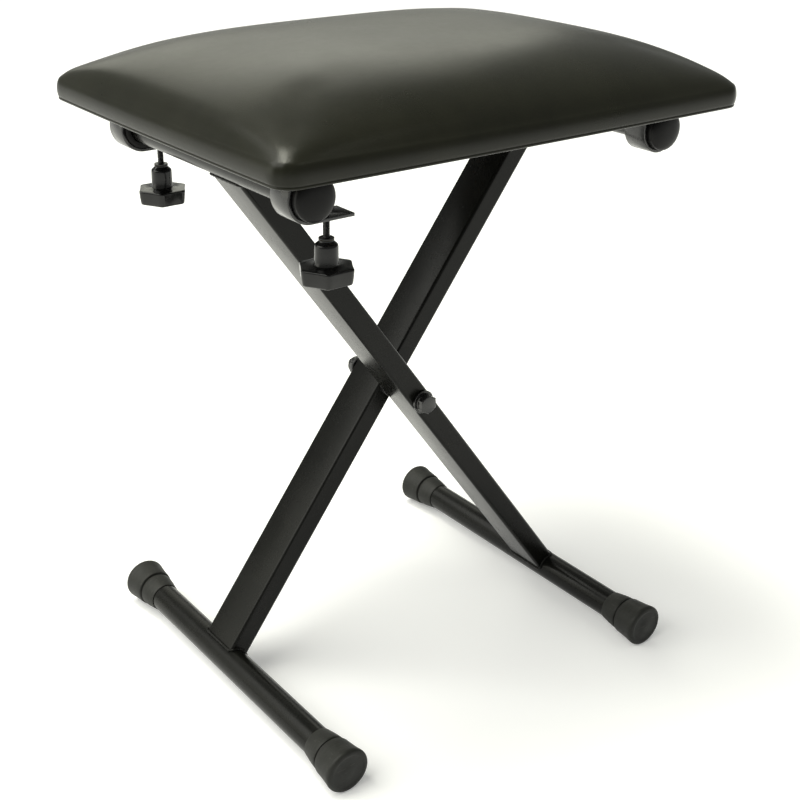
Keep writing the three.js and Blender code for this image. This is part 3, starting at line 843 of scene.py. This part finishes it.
def ring_of(node, slot, body, bore, axis="y", ease=0.35, sides=ROUND):
    """A washer or spacer that fills its node's box, with a bore and eased edges."""
    size = box_size(node) * 1000
    thick = size.y if axis == "y" else size.z
    radius = max(size.x, size.z if axis == "y" else size.y) / 2
    half = thick / 2
    profile = [
        (bore, -half + ease), (bore + ease, -half), (radius - ease, -half), (radius, -half + ease),
        (radius, half - ease), (radius - ease, half), (bore + ease, half), (bore, half - ease),
    ]
    ring = turned(node + "_ring", profile, box_centre(node), axis, sides, closed=True)
    return finished(ring, slot, body, node)


def threaded(name, radius, pitch, low, high, centre, axis="z", sides=24):
    """A rod with a rolled thread: its radius follows a helix, and its ends taper."""
    along, across, aside = AXES[axis]
    depth = 0.54 * pitch
    rows = max(2, round((high - low) / (pitch / 4)))
    rings = []
    for row in range(rows + 1):
        place = low + (high - low) * row / rows
        taper = max(0, 1 - min(place - low, high - place) / pitch)

        def reach(turn):
            phase = (place / pitch - turn / (2 * math.pi)) % 1
            return radius - depth * (1 - abs(2 * phase - 1)) - depth * taper

        rings.append(around(centre + along * mm(place), across, aside, reach, sides))
    return lone_object(name, ring_shell(rings))


def off_flat(turn):
    """The angle from the middle of the nearest side of a six-sided outline."""
    return turn % (math.pi / 3) - math.pi / 6


def hexagon_block(name, corner_radius, low, high, centre, axis="y"):
    """A six-sided head or nut body with its corners chamfered at both faces."""
    along, across, aside = AXES[axis]
    flat = corner_radius * math.cos(math.pi / 6)
    drop = (corner_radius - flat) * 0.6
    swell = (high - low) * 0.02
    uncut = 9  # more than the corners stand out past the flats
    chamfer = ((0, -0.6), (drop * 0.4, 0.0), (drop, uncut))
    places = [(low + inwards, past_flat) for inwards, past_flat in chamfer]
    places += [(high - inwards, past_flat) for inwards, past_flat in chamfer[::-1]]
    rings = [[centre + along * mm(low)]]
    for place, past_flat in places:
        def reach(turn):
            return min(flat / math.cos(off_flat(turn)), flat + past_flat + swell)

        rings.append(around(centre + along * mm(place), across, aside, reach, 60))
    rings.append([centre + along * mm(high)])
    return lone_object(name, ring_shell(rings))


def pivot_bolt():
    """Hex bolt through both legs: washer-faced head, plain shank, thread past the nut."""
    low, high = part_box("pivot_bolt")
    centre = box_centre("pivot_bolt")
    centre.y = 0
    start, seat = low.y * 1000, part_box("pivot_washer_near")[0].y * 1000 - GAP
    shank_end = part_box("pivot_nut")[0].y * 1000 + 0.5
    head = hexagon_block("head", HEX_CORNER, start, seat - 0.6, centre)
    face_profile = [
        (0, seat - 1.2), (8.0, seat - 1.2), (8.2, seat - 0.8),
        (8.2, seat - 0.2), (8.0, seat), (0, seat),
    ]
    face = turned("face", face_profile, centre)
    shank_profile = [
        (0, seat - 0.5), (BOLT_RADIUS, seat - 0.5), (BOLT_RADIUS, shank_end), (0, shank_end),
    ]
    shank = turned("shank", shank_profile, centre, sides=SMALL)
    thread = threaded(
        "thread", BOLT_RADIUS - 0.05, 1.5, shank_end - 0.2, high.y * 1000, centre, "y", 32
    )
    bolt = merged("pivot_bolt_hex", [head, face, shank, thread])
    return finished(bolt, "black_steel", "rear_frame", "pivot_bolt")


def pivot_nut():
    """Lock nut: a hex body and the round collar that holds its nylon ring."""
    low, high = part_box("pivot_nut")
    centre = box_centre("pivot_nut")
    centre.y = 0
    start, end = low.y * 1000, high.y * 1000
    collar = end - 2.6
    body = hexagon_block("nut_body", HEX_CORNER, start, collar, centre)
    cut_away(body, rod_tool(BOLT_RADIUS + 0.2, start - 5, end + 5, centre, "y"))
    profile = [(5.6, collar - 0.2), (7.3, collar - 0.2), (7.3, end - 1.4)]
    profile += rounded_corner((6.3, end - 1.0), 1.0, 0, 90)
    profile += [(5.8, end), (5.6, end - 0.2)]
    ring = turned("nut_collar", profile, centre, closed=True)
    nut = merged("pivot_lock_nut", [body, ring])
    return finished(nut, "black_steel", "rear_frame", "pivot_nut")


def pivot():
    pivot_bolt()
    pivot_nut()
    for node in ("pivot_washer_near", "pivot_washer_far", "pivot_spacer"):
        ring_of(node, "black_steel", "rear_frame", BOLT_HOLE)


# --------------------------------------------------------------------------- cushion

CROWN_RISE = 39.6  # ridge to the top of the crown
CROWN_X = (3.35, 0.44)  # how the crown falls away along the seat: flatness, then fullness
CROWN_Y = (3.73, 0.65)  # the same across the seat
RIDGE = 17.0  # bottom edge of the cover to its soft ridge
CORNER = 16.0  # radius of the cushion's corners
SIDE_BOW = 1.5  # how far the middle of a side stands out past its ends
BOARD_SIDE = 4.5  # cover's outside to the foam and vinyl's inside, beside the board
RIM_INSET = 3.0  # the ridge lies this far in from the widest part of the band
SWELL_FRAMES = 20  # length of the cloth simulation
SMOOTHINGS = 12  # passes over the top after it
PULLS = ((39.0, 0.3), (52.0, 0.26), (25.0, 0.14), (66.0, 0.14))  # angle in degrees, depth
PULL_WIDTH = 3.4  # degrees
PULL_REACH = 26.0  # from the corner's centre along each side
PULL_START, PULL_FULL, PULL_TOP = 2.5, 8.0, 34.0  # heights over the bottom edge
BAND = [  # (inset, height over the bottom edge) from the ridge down and under the board
    (2.2, 16.2), (1.4, 14.9), (0.75, 13.2), (0.3, 11.2), (0.05, 9.2), (0.0, 7.6),
    (0.15, 5.8), (0.4, 4.2),
    (0.7, 3.1), (1.15, 2.6), (1.15, 2.35), (0.8, 1.9), (0.8, 1.2), (1.2, 0.4), (2.4, 0.0),
    (9.0, 0.0), (21.0, 0.0), (21.9, 0.35), (22.0, 0.8), (21.4, 1.2), (9.0, 1.2),
]


def eased_places(count):
    """Places from -1 to 1 that crowd together towards both ends."""
    for i in range(count + 1):
        t = 2 * i / count - 1
        yield t * (1.35 - 0.35 * t * t)


def onto_outline(x, y, half_x, half_y, radius):
    """Moves a point of a square-cornered field so that the field's corners are round."""
    dx, dy = abs(x) - (half_x - radius), abs(y) - (half_y - radius)
    if dx > 0 and dy > 0:
        pull = max(dx, dy) / math.hypot(dx, dy)
        x = math.copysign(half_x - radius + dx * pull, x)
        y = math.copysign(half_y - radius + dy * pull, y)
    return x, y


def cushion_loop(columns, rows, half_x, half_y, inset):
    """The outline at an inset, with one point for each point round the field's rim."""
    xs, ys = list(eased_places(columns)), list(eased_places(rows))
    rim = [(u, -1) for u in xs[:-1]] + [(1, v) for v in ys[:-1]]
    rim += [(-u, 1) for u in xs[:-1]] + [(-1, -v) for v in ys[:-1]]
    return [cushion_point(u, v, half_x, half_y, inset) for u, v in rim]


def bowed(x, y, half_x, half_y):
    """Pulls the sides in towards the corners, so that their middles stand out."""
    u, v = x / half_x, y / half_y
    return x - SIDE_BOW * u * v * v, y - SIDE_BOW * v * u * u


def cushion_point(u, v, half_x, half_y, inset):
    """Where a point of the field lies, for an outline at some inset."""
    reach_x, reach_y = half_x - inset, half_y - inset
    radius = max(CORNER - inset, 2.0)
    x, y = onto_outline(u * reach_x, v * reach_y, reach_x, reach_y, radius)
    return bowed(x, y, half_x, half_y)


def cushion_field(bm, columns, rows, half_x, half_y, inset, height_at):
    """A grid of points over the seat whose height comes from height_at(u, v)."""
    grid = []
    for v in eased_places(rows):
        line = []
        for u in eased_places(columns):
            x, y = cushion_point(u, v, half_x, half_y, inset)
            line.append(bm.verts.new((mm(x), mm(y), height_at(u, v))))
        grid.append(line)
    for low, high in zip(grid, grid[1:]):
        for i in range(len(low) - 1):
            bm.faces.new((low[i], low[i + 1], high[i + 1], high[i]))
    rim = grid[0][:-1] + [line[-1] for line in grid[:-1]]
    rim += grid[-1][:0:-1] + [line[0] for line in grid[:0:-1]]
    return rim


def swollen(piece, loose, pressure=4.0, limit=mm(2.2)):
    """Cloth simulation: the loose points swell under pressure, the others stay put, and
    no point moves further than the limit."""
    group = piece.vertex_groups.new(name="held")
    for index, hold in enumerate(loose):
        group.add([index], 1 - hold, "REPLACE")
    start = [v.co.copy() for v in piece.data.vertices]
    cloth = piece.modifiers.new("cloth", "CLOTH")
    settings = cloth.settings
    settings.use_pressure = True
    settings.uniform_pressure_force = pressure
    settings.effector_weights.gravity = 0
    settings.vertex_group_mass = "held"
    settings.tension_stiffness = settings.compression_stiffness = 25
    settings.shear_stiffness = 12
    settings.bending_stiffness = 4
    scene = bpy.context.scene
    for step in range(1, SWELL_FRAMES + 1):
        scene.frame_set(step)
    graph = bpy.context.evaluated_depsgraph_get()
    shaped = piece.evaluated_get(graph).to_mesh()
    for vertex, moved, begun in zip(piece.data.vertices, shaped.vertices, start):
        shift = moved.co - begun
        vertex.co = begun + shift / math.sqrt(1 + (shift.length / limit) ** 2)
    piece.modifiers.clear()
    scene.frame_set(1)


def corner_pulls(bm, half_x, half_y, bottom):
    """Faint pull lines where the vinyl is drawn round each corner."""
    for vertex in bm.verts:
        x, y, z = (c * 1000 for c in vertex.co)
        cx, cy = math.copysign(half_x - CORNER, x), math.copysign(half_y - CORNER, y)
        dx, dy = (x - cx) * math.copysign(1, x), (y - cy) * math.copysign(1, y)
        lift = z - bottom * 1000
        if min(dx, dy) < -PULL_REACH or not PULL_START < lift < PULL_TOP:
            continue
        turn = math.degrees(math.atan2(max(dy + 12, 0.1), max(dx + 12, 0.1)))
        rise = min((lift - PULL_START) / 3, 1)
        fall = min(1 - (lift - PULL_FULL) / (PULL_TOP - PULL_FULL), 1)
        pull = sum(
            depth * math.exp(-(((turn - place) / PULL_WIDTH) ** 2)) for place, depth in PULLS
        )
        outward = Vector((x - cx * 0.9, y - cy * 0.9, 0)).normalized()
        vertex.co -= outward * mm(pull * rise * fall)


def seat_cushion():
    """Foam pad in its vinyl cover: crowned top, soft ridge, band round the board's edge
    and the hem that turns under the board. Open underneath where the board fills it."""
    low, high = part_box("seat_cover")
    half_x, half_y = high.x * 1000, high.y * 1000
    bottom = low.z
    ridge = bottom + mm(RIDGE)
    board_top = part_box("seat_board")[1].z + mm(GAP)
    columns, rows = 88, 70
    swell = 1.8  # what the simulation adds to the crown's height
    start_rise = CROWN_RISE - swell

    def crown(u, v):
        along = max(1 - abs(u) ** CROWN_X[0], 0) ** CROWN_X[1]
        across = max(1 - abs(v) ** CROWN_Y[0], 0) ** CROWN_Y[1]
        return ridge + mm(start_rise) * along * across

    bm = bmesh.new()
    rim = cushion_field(bm, columns, rows, half_x, half_y, RIM_INSET, crown)
    wholly_loose = 0.25 * mm(start_rise)  # from this height over the ridge
    loose = [min((vertex.co.z - ridge) / wholly_loose, 1.0) for vertex in bm.verts]
    profile = [(inset, bottom + mm(height)) for inset, height in BAND]
    profile += [(BOARD_SIDE, bottom + mm(1.2)), (BOARD_SIDE, board_top)]
    above = rim
    for inset, height in profile:
        loop = cushion_loop(columns, rows, half_x, half_y, inset)
        below = [bm.verts.new((mm(x), mm(y), height)) for x, y in loop]
        for i in range(len(below)):
            j = (i + 1) % len(below)
            bm.faces.new((above[i], below[i], below[j], above[j]))
        above = below
        loose += [0.0] * len(below)
    ceiling = cushion_field(bm, columns, rows, half_x, half_y, BOARD_SIDE, lambda u, v: board_top)
    bmesh.ops.remove_doubles(bm, verts=above + ceiling, dist=mm(0.01))
    loose += [0.0] * (len(bm.verts) - len(loose))
    cushion = lone_object("seat_cushion", bm)
    swollen(cushion, loose)
    bm = bmesh.new()
    bm.from_mesh(cushion.data)
    top = [v for v in bm.verts if v.co.z > ridge + mm(0.5)]
    for _ in range(SMOOTHINGS):
        bmesh.ops.smooth_vert(
            bm, verts=top, factor=0.5, use_axis_x=True, use_axis_y=True, use_axis_z=True
        )
    corner_pulls(bm, half_x, half_y, bottom)
    bm.to_mesh(cushion.data)
    bm.free()
    smoother = cushion.modifiers.new("smoother", "SUBSURF")
    smoother.levels = smoother.render_levels = 1
    apply_modifiers(cushion)
    finished(cushion, "vinyl", "seat", "seat_cover", "seat_foam", smooth=math.radians(60))
    return cushion


# ---------------------------------------------------------------- under the seat

STRAP_THICKNESS = 2.5
STRAP_RADIUS = SLEEVE_RADIUS + GAP + STRAP_THICKNESS / 2  # middle line round a sleeve
SCREW_HOLE = 2.3


def flat_plate(name, outlines, centre, low, high, ease=0.3):
    """A flat plate from its outline and the outlines of its holes, edges eased."""
    curve = bpy.data.curves.new(name, "CURVE")
    curve.dimensions = "2D"
    curve.fill_mode = "BOTH"
    curve.extrude = mm((high - low) / 2 - ease)
    curve.bevel_depth = mm(ease)
    curve.bevel_resolution = 1
    curve.offset = -mm(ease)
    for outline in outlines:
        spline = curve.splines.new("POLY")
        spline.points.add(len(outline) - 1)
        spline.use_cyclic_u = True
        for point, (x, y) in zip(spline.points, outline):
            point.co = (mm(x), mm(y), 0, 1)
    shape = bpy.data.objects.new(name, curve)
    bpy.context.scene.collection.objects.link(shape)
    graph = bpy.context.evaluated_depsgraph_get()
    mesh = bpy.data.meshes.new_from_object(shape.evaluated_get(graph))
    bpy.data.objects.remove(shape)
    bm = bmesh.new()
    bm.from_mesh(mesh)
    bmesh.ops.remove_doubles(bm, verts=bm.verts, dist=mm(0.01))
    bmesh.ops.translate(bm, verts=bm.verts, vec=centre + Vector((0, 0, mm((low + high) / 2))))
    return lone_object(name, bm)


def slot_outline(start, end, half_width, steps=12):
    """A slot with round ends along X."""
    right = rounded_corner((end, 0), half_width, -90, 90, steps)
    left = rounded_corner((start, 0), half_width, 90, 270, steps)
    return right + left


def rail_slot():
    """Where the clamp bolt's slot starts and ends along X, in mm."""
    before_screw = 14
    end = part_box("rail_screw_near_2")[0].x * 1000 - before_screw
    return box_centre("clamp_bolt_near").x * 1000, end


def seat_rail(end):
    """A slotted steel rail with plain round holes for its screws."""
    node = f"seat_rail_{end}"
    low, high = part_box(node)
    middle = Vector(((low.x + high.x) / 2, (low.y + high.y) / 2, low.z))
    shift = middle.x * 1000
    outline = rounded_rectangle((high.x - low.x) * 1000, (high.y - low.y) * 1000, 4.0, 5)
    start, stop = rail_slot()
    holes = [slot_outline(start - shift, stop - shift, 3.1)]
    for kind, radius in (("rail", 4.6), ("saddle", SCREW_HOLE)):
        for i in (1, 2):
            x = box_centre(f"{kind}_screw_{end}_{i}").x * 1000 - shift
            holes.append([(x + u, v) for u, v in many_sided(radius, 24)])
    thick = (high.z - low.z) * 1000
    plate = flat_plate(node + "_plate", [outline, *holes], middle, 0, thick)
    return finished(plate, "black_steel", "seat", node)


def crossed_recess(centre, depth, reach=2.3, half=0.42):
    """The cutters for a cross-head recess that opens downwards."""
    slits = (rectangle(reach, half), rectangle(half, reach))
    return [upright("cutter", slit, -2, depth, centre) for slit in slits]


def seat_screw(node, countersunk):
    """A wood screw that points up, with a cross recess in its head."""
    centre = box_foot(node)
    radius, length = box_size(node).x * 500, box_size(node).z * 1000
    if countersunk:
        profile = [(0, 0), (radius - 0.3, 0), (radius, 0.2), (1.9, 2.0), (0, 2.0)]
    else:
        profile = [
            (0, 0), (radius * 0.6, 0.08), (radius * 0.85, 0.45), (radius, 1.2),
            (radius, 2.0), (radius - 0.2, 2.2), (0, 2.2),
        ]
    head = turned("head", profile, centre, "z", SMALL)
    cut_away(head, *crossed_recess(centre, 1.3))
    shank = threaded("shank", 1.95, 1.4, 1.8, length, centre, sides=16)
    screw = merged(node + "_cross_head", [head, shank])
    return finished(screw, "zinc_steel", "seat", node)


def strap(node, spine, body, holes):
    """A bent steel strap: its middle line is (x, z) in mm, its width fills the node's box."""
    centre = Vector((0, box_centre(node).y, 0))
    half_width, half = box_size(node).y * 500, STRAP_THICKNESS / 2
    edges = list(zip(spine, path_normals(spine)))
    outline = [(x + nx * half, z + nz * half) for (x, z), (nx, nz) in edges]
    outline += [(x - nx * half, z - nz * half) for (x, z), (nx, nz) in reversed(edges)]
    along, up, aside = AXES["y"]
    piece = prism(node + "_strap", outline, -half_width, half_width, along, aside, up, centre)
    for x, z, radius in holes:
        cut_away(piece, rod_tool(radius, -6, 6, Vector((mm(x), centre.y, mm(z)))))
    round_edges(piece, 0.45, 2, math.radians(50))
    return finished(piece, "black_steel", body, node)


def seat_saddle(end):
    """The strap that cups the right-hand sleeve, with a flange on each side."""
    node = f"seat_saddle_{end}"
    middle_x = box_centre(node).x * 1000
    axis_z = box_centre("right_cross_tube").z * 1000
    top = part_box(node)[1].z * 1000 - STRAP_THICKNESS / 2
    reach = box_size(node).x * 500
    bend = 2.2
    spine = [(middle_x - reach, top)]
    spine += rounded_corner((middle_x - STRAP_RADIUS - bend, top - bend), bend, 90, 0, 4)
    spine += rounded_corner((middle_x, axis_z), STRAP_RADIUS, 180, 360, 28)
    spine += rounded_corner((middle_x + STRAP_RADIUS + bend, top - bend), bend, 180, 90, 4)
    spine += [(middle_x + reach, top)]
    places = [box_centre(f"saddle_screw_{end}_{i}").x * 1000 for i in (1, 2)]
    return strap(node, spine, "seat", [(x, top, SCREW_HOLE) for x in places])


def dust_cloth():
    """Thin cloth stretched under the board, open over the two slots and the screws."""
    low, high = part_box("dust_cloth")
    half_x, half_y = high.x * 1000, high.y * 1000
    outline = rounded_rectangle(2 * half_x, 2 * half_y, 2.0)
    start, stop = rail_slot()
    past_slot = 9.0
    holes = []
    for end in ENDS:
        lateral = box_centre(f"seat_rail_{end}").y * 1000
        holes.append([(x, y + lateral) for x, y in slot_outline(start, stop, past_slot)])
        for kind in ("rail", "saddle"):
            for i in (1, 2):
                x = box_centre(f"{kind}_screw_{end}_{i}").x * 1000
                if not start - past_slot < x < stop + past_slot and x < half_x - 3:
                    holes.append([(x + u, lateral + v) for u, v in many_sided(2.4, 12)])
    underside, topside, ease, step = 0.25, 0.75, 0.1, 8.0
    middle = Vector((0, 0, low.z))
    outlines = [outline, *holes]
    cloth = flat_plate("stretched_dust_cloth", outlines, middle, underside, topside, ease)
    bm = bmesh.new()
    bm.from_mesh(cloth.data)
    for half, normal in ((half_x, (1, 0, 0)), (half_y, (0, 1, 0))):
        for i in range(1, round(2 * half / step)):
            place = Vector(normal) * mm(i * step - half)
            geometry = bm.verts[:] + bm.edges[:] + bm.faces[:]
            bmesh.ops.bisect_plane(bm, geom=geometry, plane_co=place, plane_no=normal)
    for vertex in bm.verts:
        inner = min(mm(half_x) - abs(vertex.co.x), mm(half_y) - abs(vertex.co.y))
        pucker = noise.noise(vertex.co * 45) * 0.16 + noise.noise(vertex.co * 140) * 0.06
        vertex.co.z += mm(pucker) * min(inner / mm(6), 1)
    bm.to_mesh(cloth.data)
    bm.free()
    finished(cloth, "dust_cloth", "seat", "dust_cloth")
    return cloth


def staple(bm, x, y, bottom, turn):
    """One staple, pressed from below, added to the bmesh."""
    half, leg, bend, thick = 5.0, 2.6, 0.6, 0.55
    path = [(-half, leg), (-half, bend), (-half + bend, 0)]
    path += [(-u, w) for u, w in path[::-1]]
    rings = []
    for (u, w), (nu, nw) in zip(path, path_normals(path)):
        ring = []
        for a, b in rectangle(1, 1):
            pu, pw, pv = u + nu * b * thick / 2, w + nw * b * thick / 2, a * thick * 0.7
            ring.append(bm.verts.new((
                mm(x + pu * math.cos(turn) - pv * math.sin(turn)),
                mm(y + pu * math.sin(turn) + pv * math.cos(turn)),
                bottom + mm(pw - 0.25),
            )))
        rings.append(ring)
    for first, second in zip(rings, rings[1:]):
        for i in range(4):
            j = (i + 1) % 4
            bm.faces.new((first[i], first[j], second[j], second[i]))
    bm.faces.new(rings[0])
    bm.faces.new(rings[-1])


def under_rail(x, y):
    """Whether a staple at this place would lie over a rail or its screws."""
    aside, before, last = 22, 8, 204
    beside = any(abs(y - box_centre(f"seat_rail_{end}").y * 1000) < aside for end in ENDS)
    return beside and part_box("seat_rail_near")[0].x * 1000 - before < x < last


def staple_row():
    """Staples that hold the hem and the dust cloth, all in one piece."""
    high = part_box("dust_cloth")[1]
    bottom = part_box("seat_cover")[0].z
    end_gap = 20
    bm = bmesh.new()
    for inset, spacing in ((-12.0, 24.0), (5.0, 38.0)):
        reach_x, reach_y = high.x * 1000 - inset, high.y * 1000 - inset
        for reach, other, along_x in ((reach_x, reach_y, True), (reach_y, reach_x, False)):
            run = 2 * (reach - end_gap)
            count = round(run / spacing)
            for i in range(count + 1):
                place = -reach + end_gap + run * i / count
                for side in (-1, 1):
                    sway = 0.14 * math.sin(i * 2.3 + side)
                    x, y = (place, side * other) if along_x else (side * other, place)
                    if not under_rail(x, y):
                        staple(bm, x, y, bottom, (0 if along_x else math.pi / 2) + sway)
    return finished(lone_object("hem_staples", bm), "zinc_steel", "seat")


def under_seat():
    for end in ENDS:
        seat_rail(end)
        seat_saddle(end)
        for i in (1, 2):
            seat_screw(f"rail_screw_{end}_{i}", True)
            seat_screw(f"saddle_screw_{end}_{i}", False)
    dust_cloth()
    staple_row()


# ------------------------------------------------------------------------ seat clamps


def hook_plate(end):
    """The strap under a left-hand sleeve: flat past the bolt, hooked up round the front."""
    node = f"hook_plate_{end}"
    axis = box_centre("left_cross_tube") * 1000
    flat_z = axis.z - STRAP_RADIUS
    spine = rounded_corner((axis.x, axis.z), STRAP_RADIUS, 140, 270, 26)
    spine += [(axis.x + 4, flat_z), (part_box(node)[1].x * 1000, flat_z)]
    bolt = box_centre(f"clamp_bolt_{end}").x * 1000
    return strap(node, spine, f"clamp_{end}", [(bolt, flat_z, 2.8)])


def clamp_bolt(end):
    """Square-headed clamp bolt, threaded all the way down."""
    node = f"clamp_bolt_{end}"
    centre = box_foot(node)
    half, length = box_size(node).x * 500, box_size(node).z * 1000
    shoulder = length - 3.5
    head = upright("head", rectangle(half, half), shoulder, length, centre)
    round_edges(head, 0.6, 2)
    shank = threaded("shank", 2.5, 0.8, 0, shoulder + 0.5, centre)
    bolt = merged(node + "_threaded", [head, shank])
    return finished(bolt, "black_steel", f"clamp_{end}", node)


def hand_knob(end):
    """Hand knob: a cone and a neck over a six-sided grip, bored for the bolt."""
    node = f"clamp_knob_{end}"
    centre = box_foot(node)
    corner_radius, height = box_size(node).x * 500, box_size(node).z * 1000
    bore, insert, insert_depth, floor = 2.9, 5.3, 8.3, 3.0
    up, across, aside = AXES["z"]

    def six_sided(reach, share, turn):
        """Radius of the grip's outline: eased corners and hollowed flats, or round at 0."""
        flat = reach * math.cos(math.pi / 6)
        hollow = 0.012 * reach * math.cos(3 * off_flat(turn)) ** 2
        sided = min(flat / math.cos(off_flat(turn)), reach * 0.975) - hollow
        return sided * share + reach * (1 - share)

    def ring_at(z, radius):
        return around(centre + up * mm(z), across, aside, radius, 96)

    dish = [(1.2, 9.0), (1.0, 10.4), (0.25, 11.2), (0.0, 11.8)]
    outside = [  # (height, radius at the corners over the grip's, how six-sided it is)
        (0.0, 0.84, 1), (0.2, 0.89, 1), (0.7, 0.925, 1), (1.6, 0.94, 1), (6.0, 0.968, 1),
        (10.0, 0.985, 1), (10.9, 0.985, 1), (11.4, 0.965, 1), (11.6, 0.92, 1), (11.75, 0.75, 0.7),
        (12.0, 0.46, 0), (12.5, 0.41, 0), (13.4, 0.392, 0), (20.0, 0.388, 0), (25.0, 0.384, 0),
        (26.0, 0.378, 0), (26.8, 0.36, 0), (27.4, 0.33, 0), (28.4, 0.27, 0), (29.6, 0.24, 0),
    ]
    inside = [
        (height, 5.45), (height - 0.1, insert), (height - insert_depth, insert),
        (height - insert_depth, bore), (floor, bore),
    ]
    rings = [[centre + up * mm(dish[0][0])]]
    rings += [ring_at(z, radius) for z, radius in dish]
    for z, share, sided in outside:
        rings.append(ring_at(z, lambda turn: six_sided(share * corner_radius, sided, turn)))
    rings += [ring_at(z, radius) for z, radius in inside]
    rings.append([centre + up * mm(floor)])
    knob = lone_object(node + "_grip", ring_shell(rings))
    return finished(knob, "knob_plastic", f"knob_{end}", node, smooth=math.radians(40))


def seat_clamps():
    for end in ENDS:
        hook_plate(end)
        clamp_bolt(end)
        hand_knob(end)
        ring_of(f"knob_washer_{end}", "zinc_steel", f"washer_{end}", 2.8, "z", 0.2, SMALL)


# ----------------------------------------------------------------- kept CAD pieces

KEPT = {"seat_board": "plywood"}
KEPT |= {f"{leg}_bush": "zinc_steel" for leg in FRAMES}
KEPT |= {f"knob_insert_{end}": "brass" for end in ENDS}


def finish_kept_nodes():
    """The plain inner pieces keep their CAD shape and get their finish."""
    for node, slot in KEPT.items():
        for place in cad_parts[node].material_slots:
            place.material = FINISHES[slot]


bench_camera()
studio()
leg_frames()
pivot()
seat_cushion()
under_seat()
seat_clamps()
finish_kept_nodes()
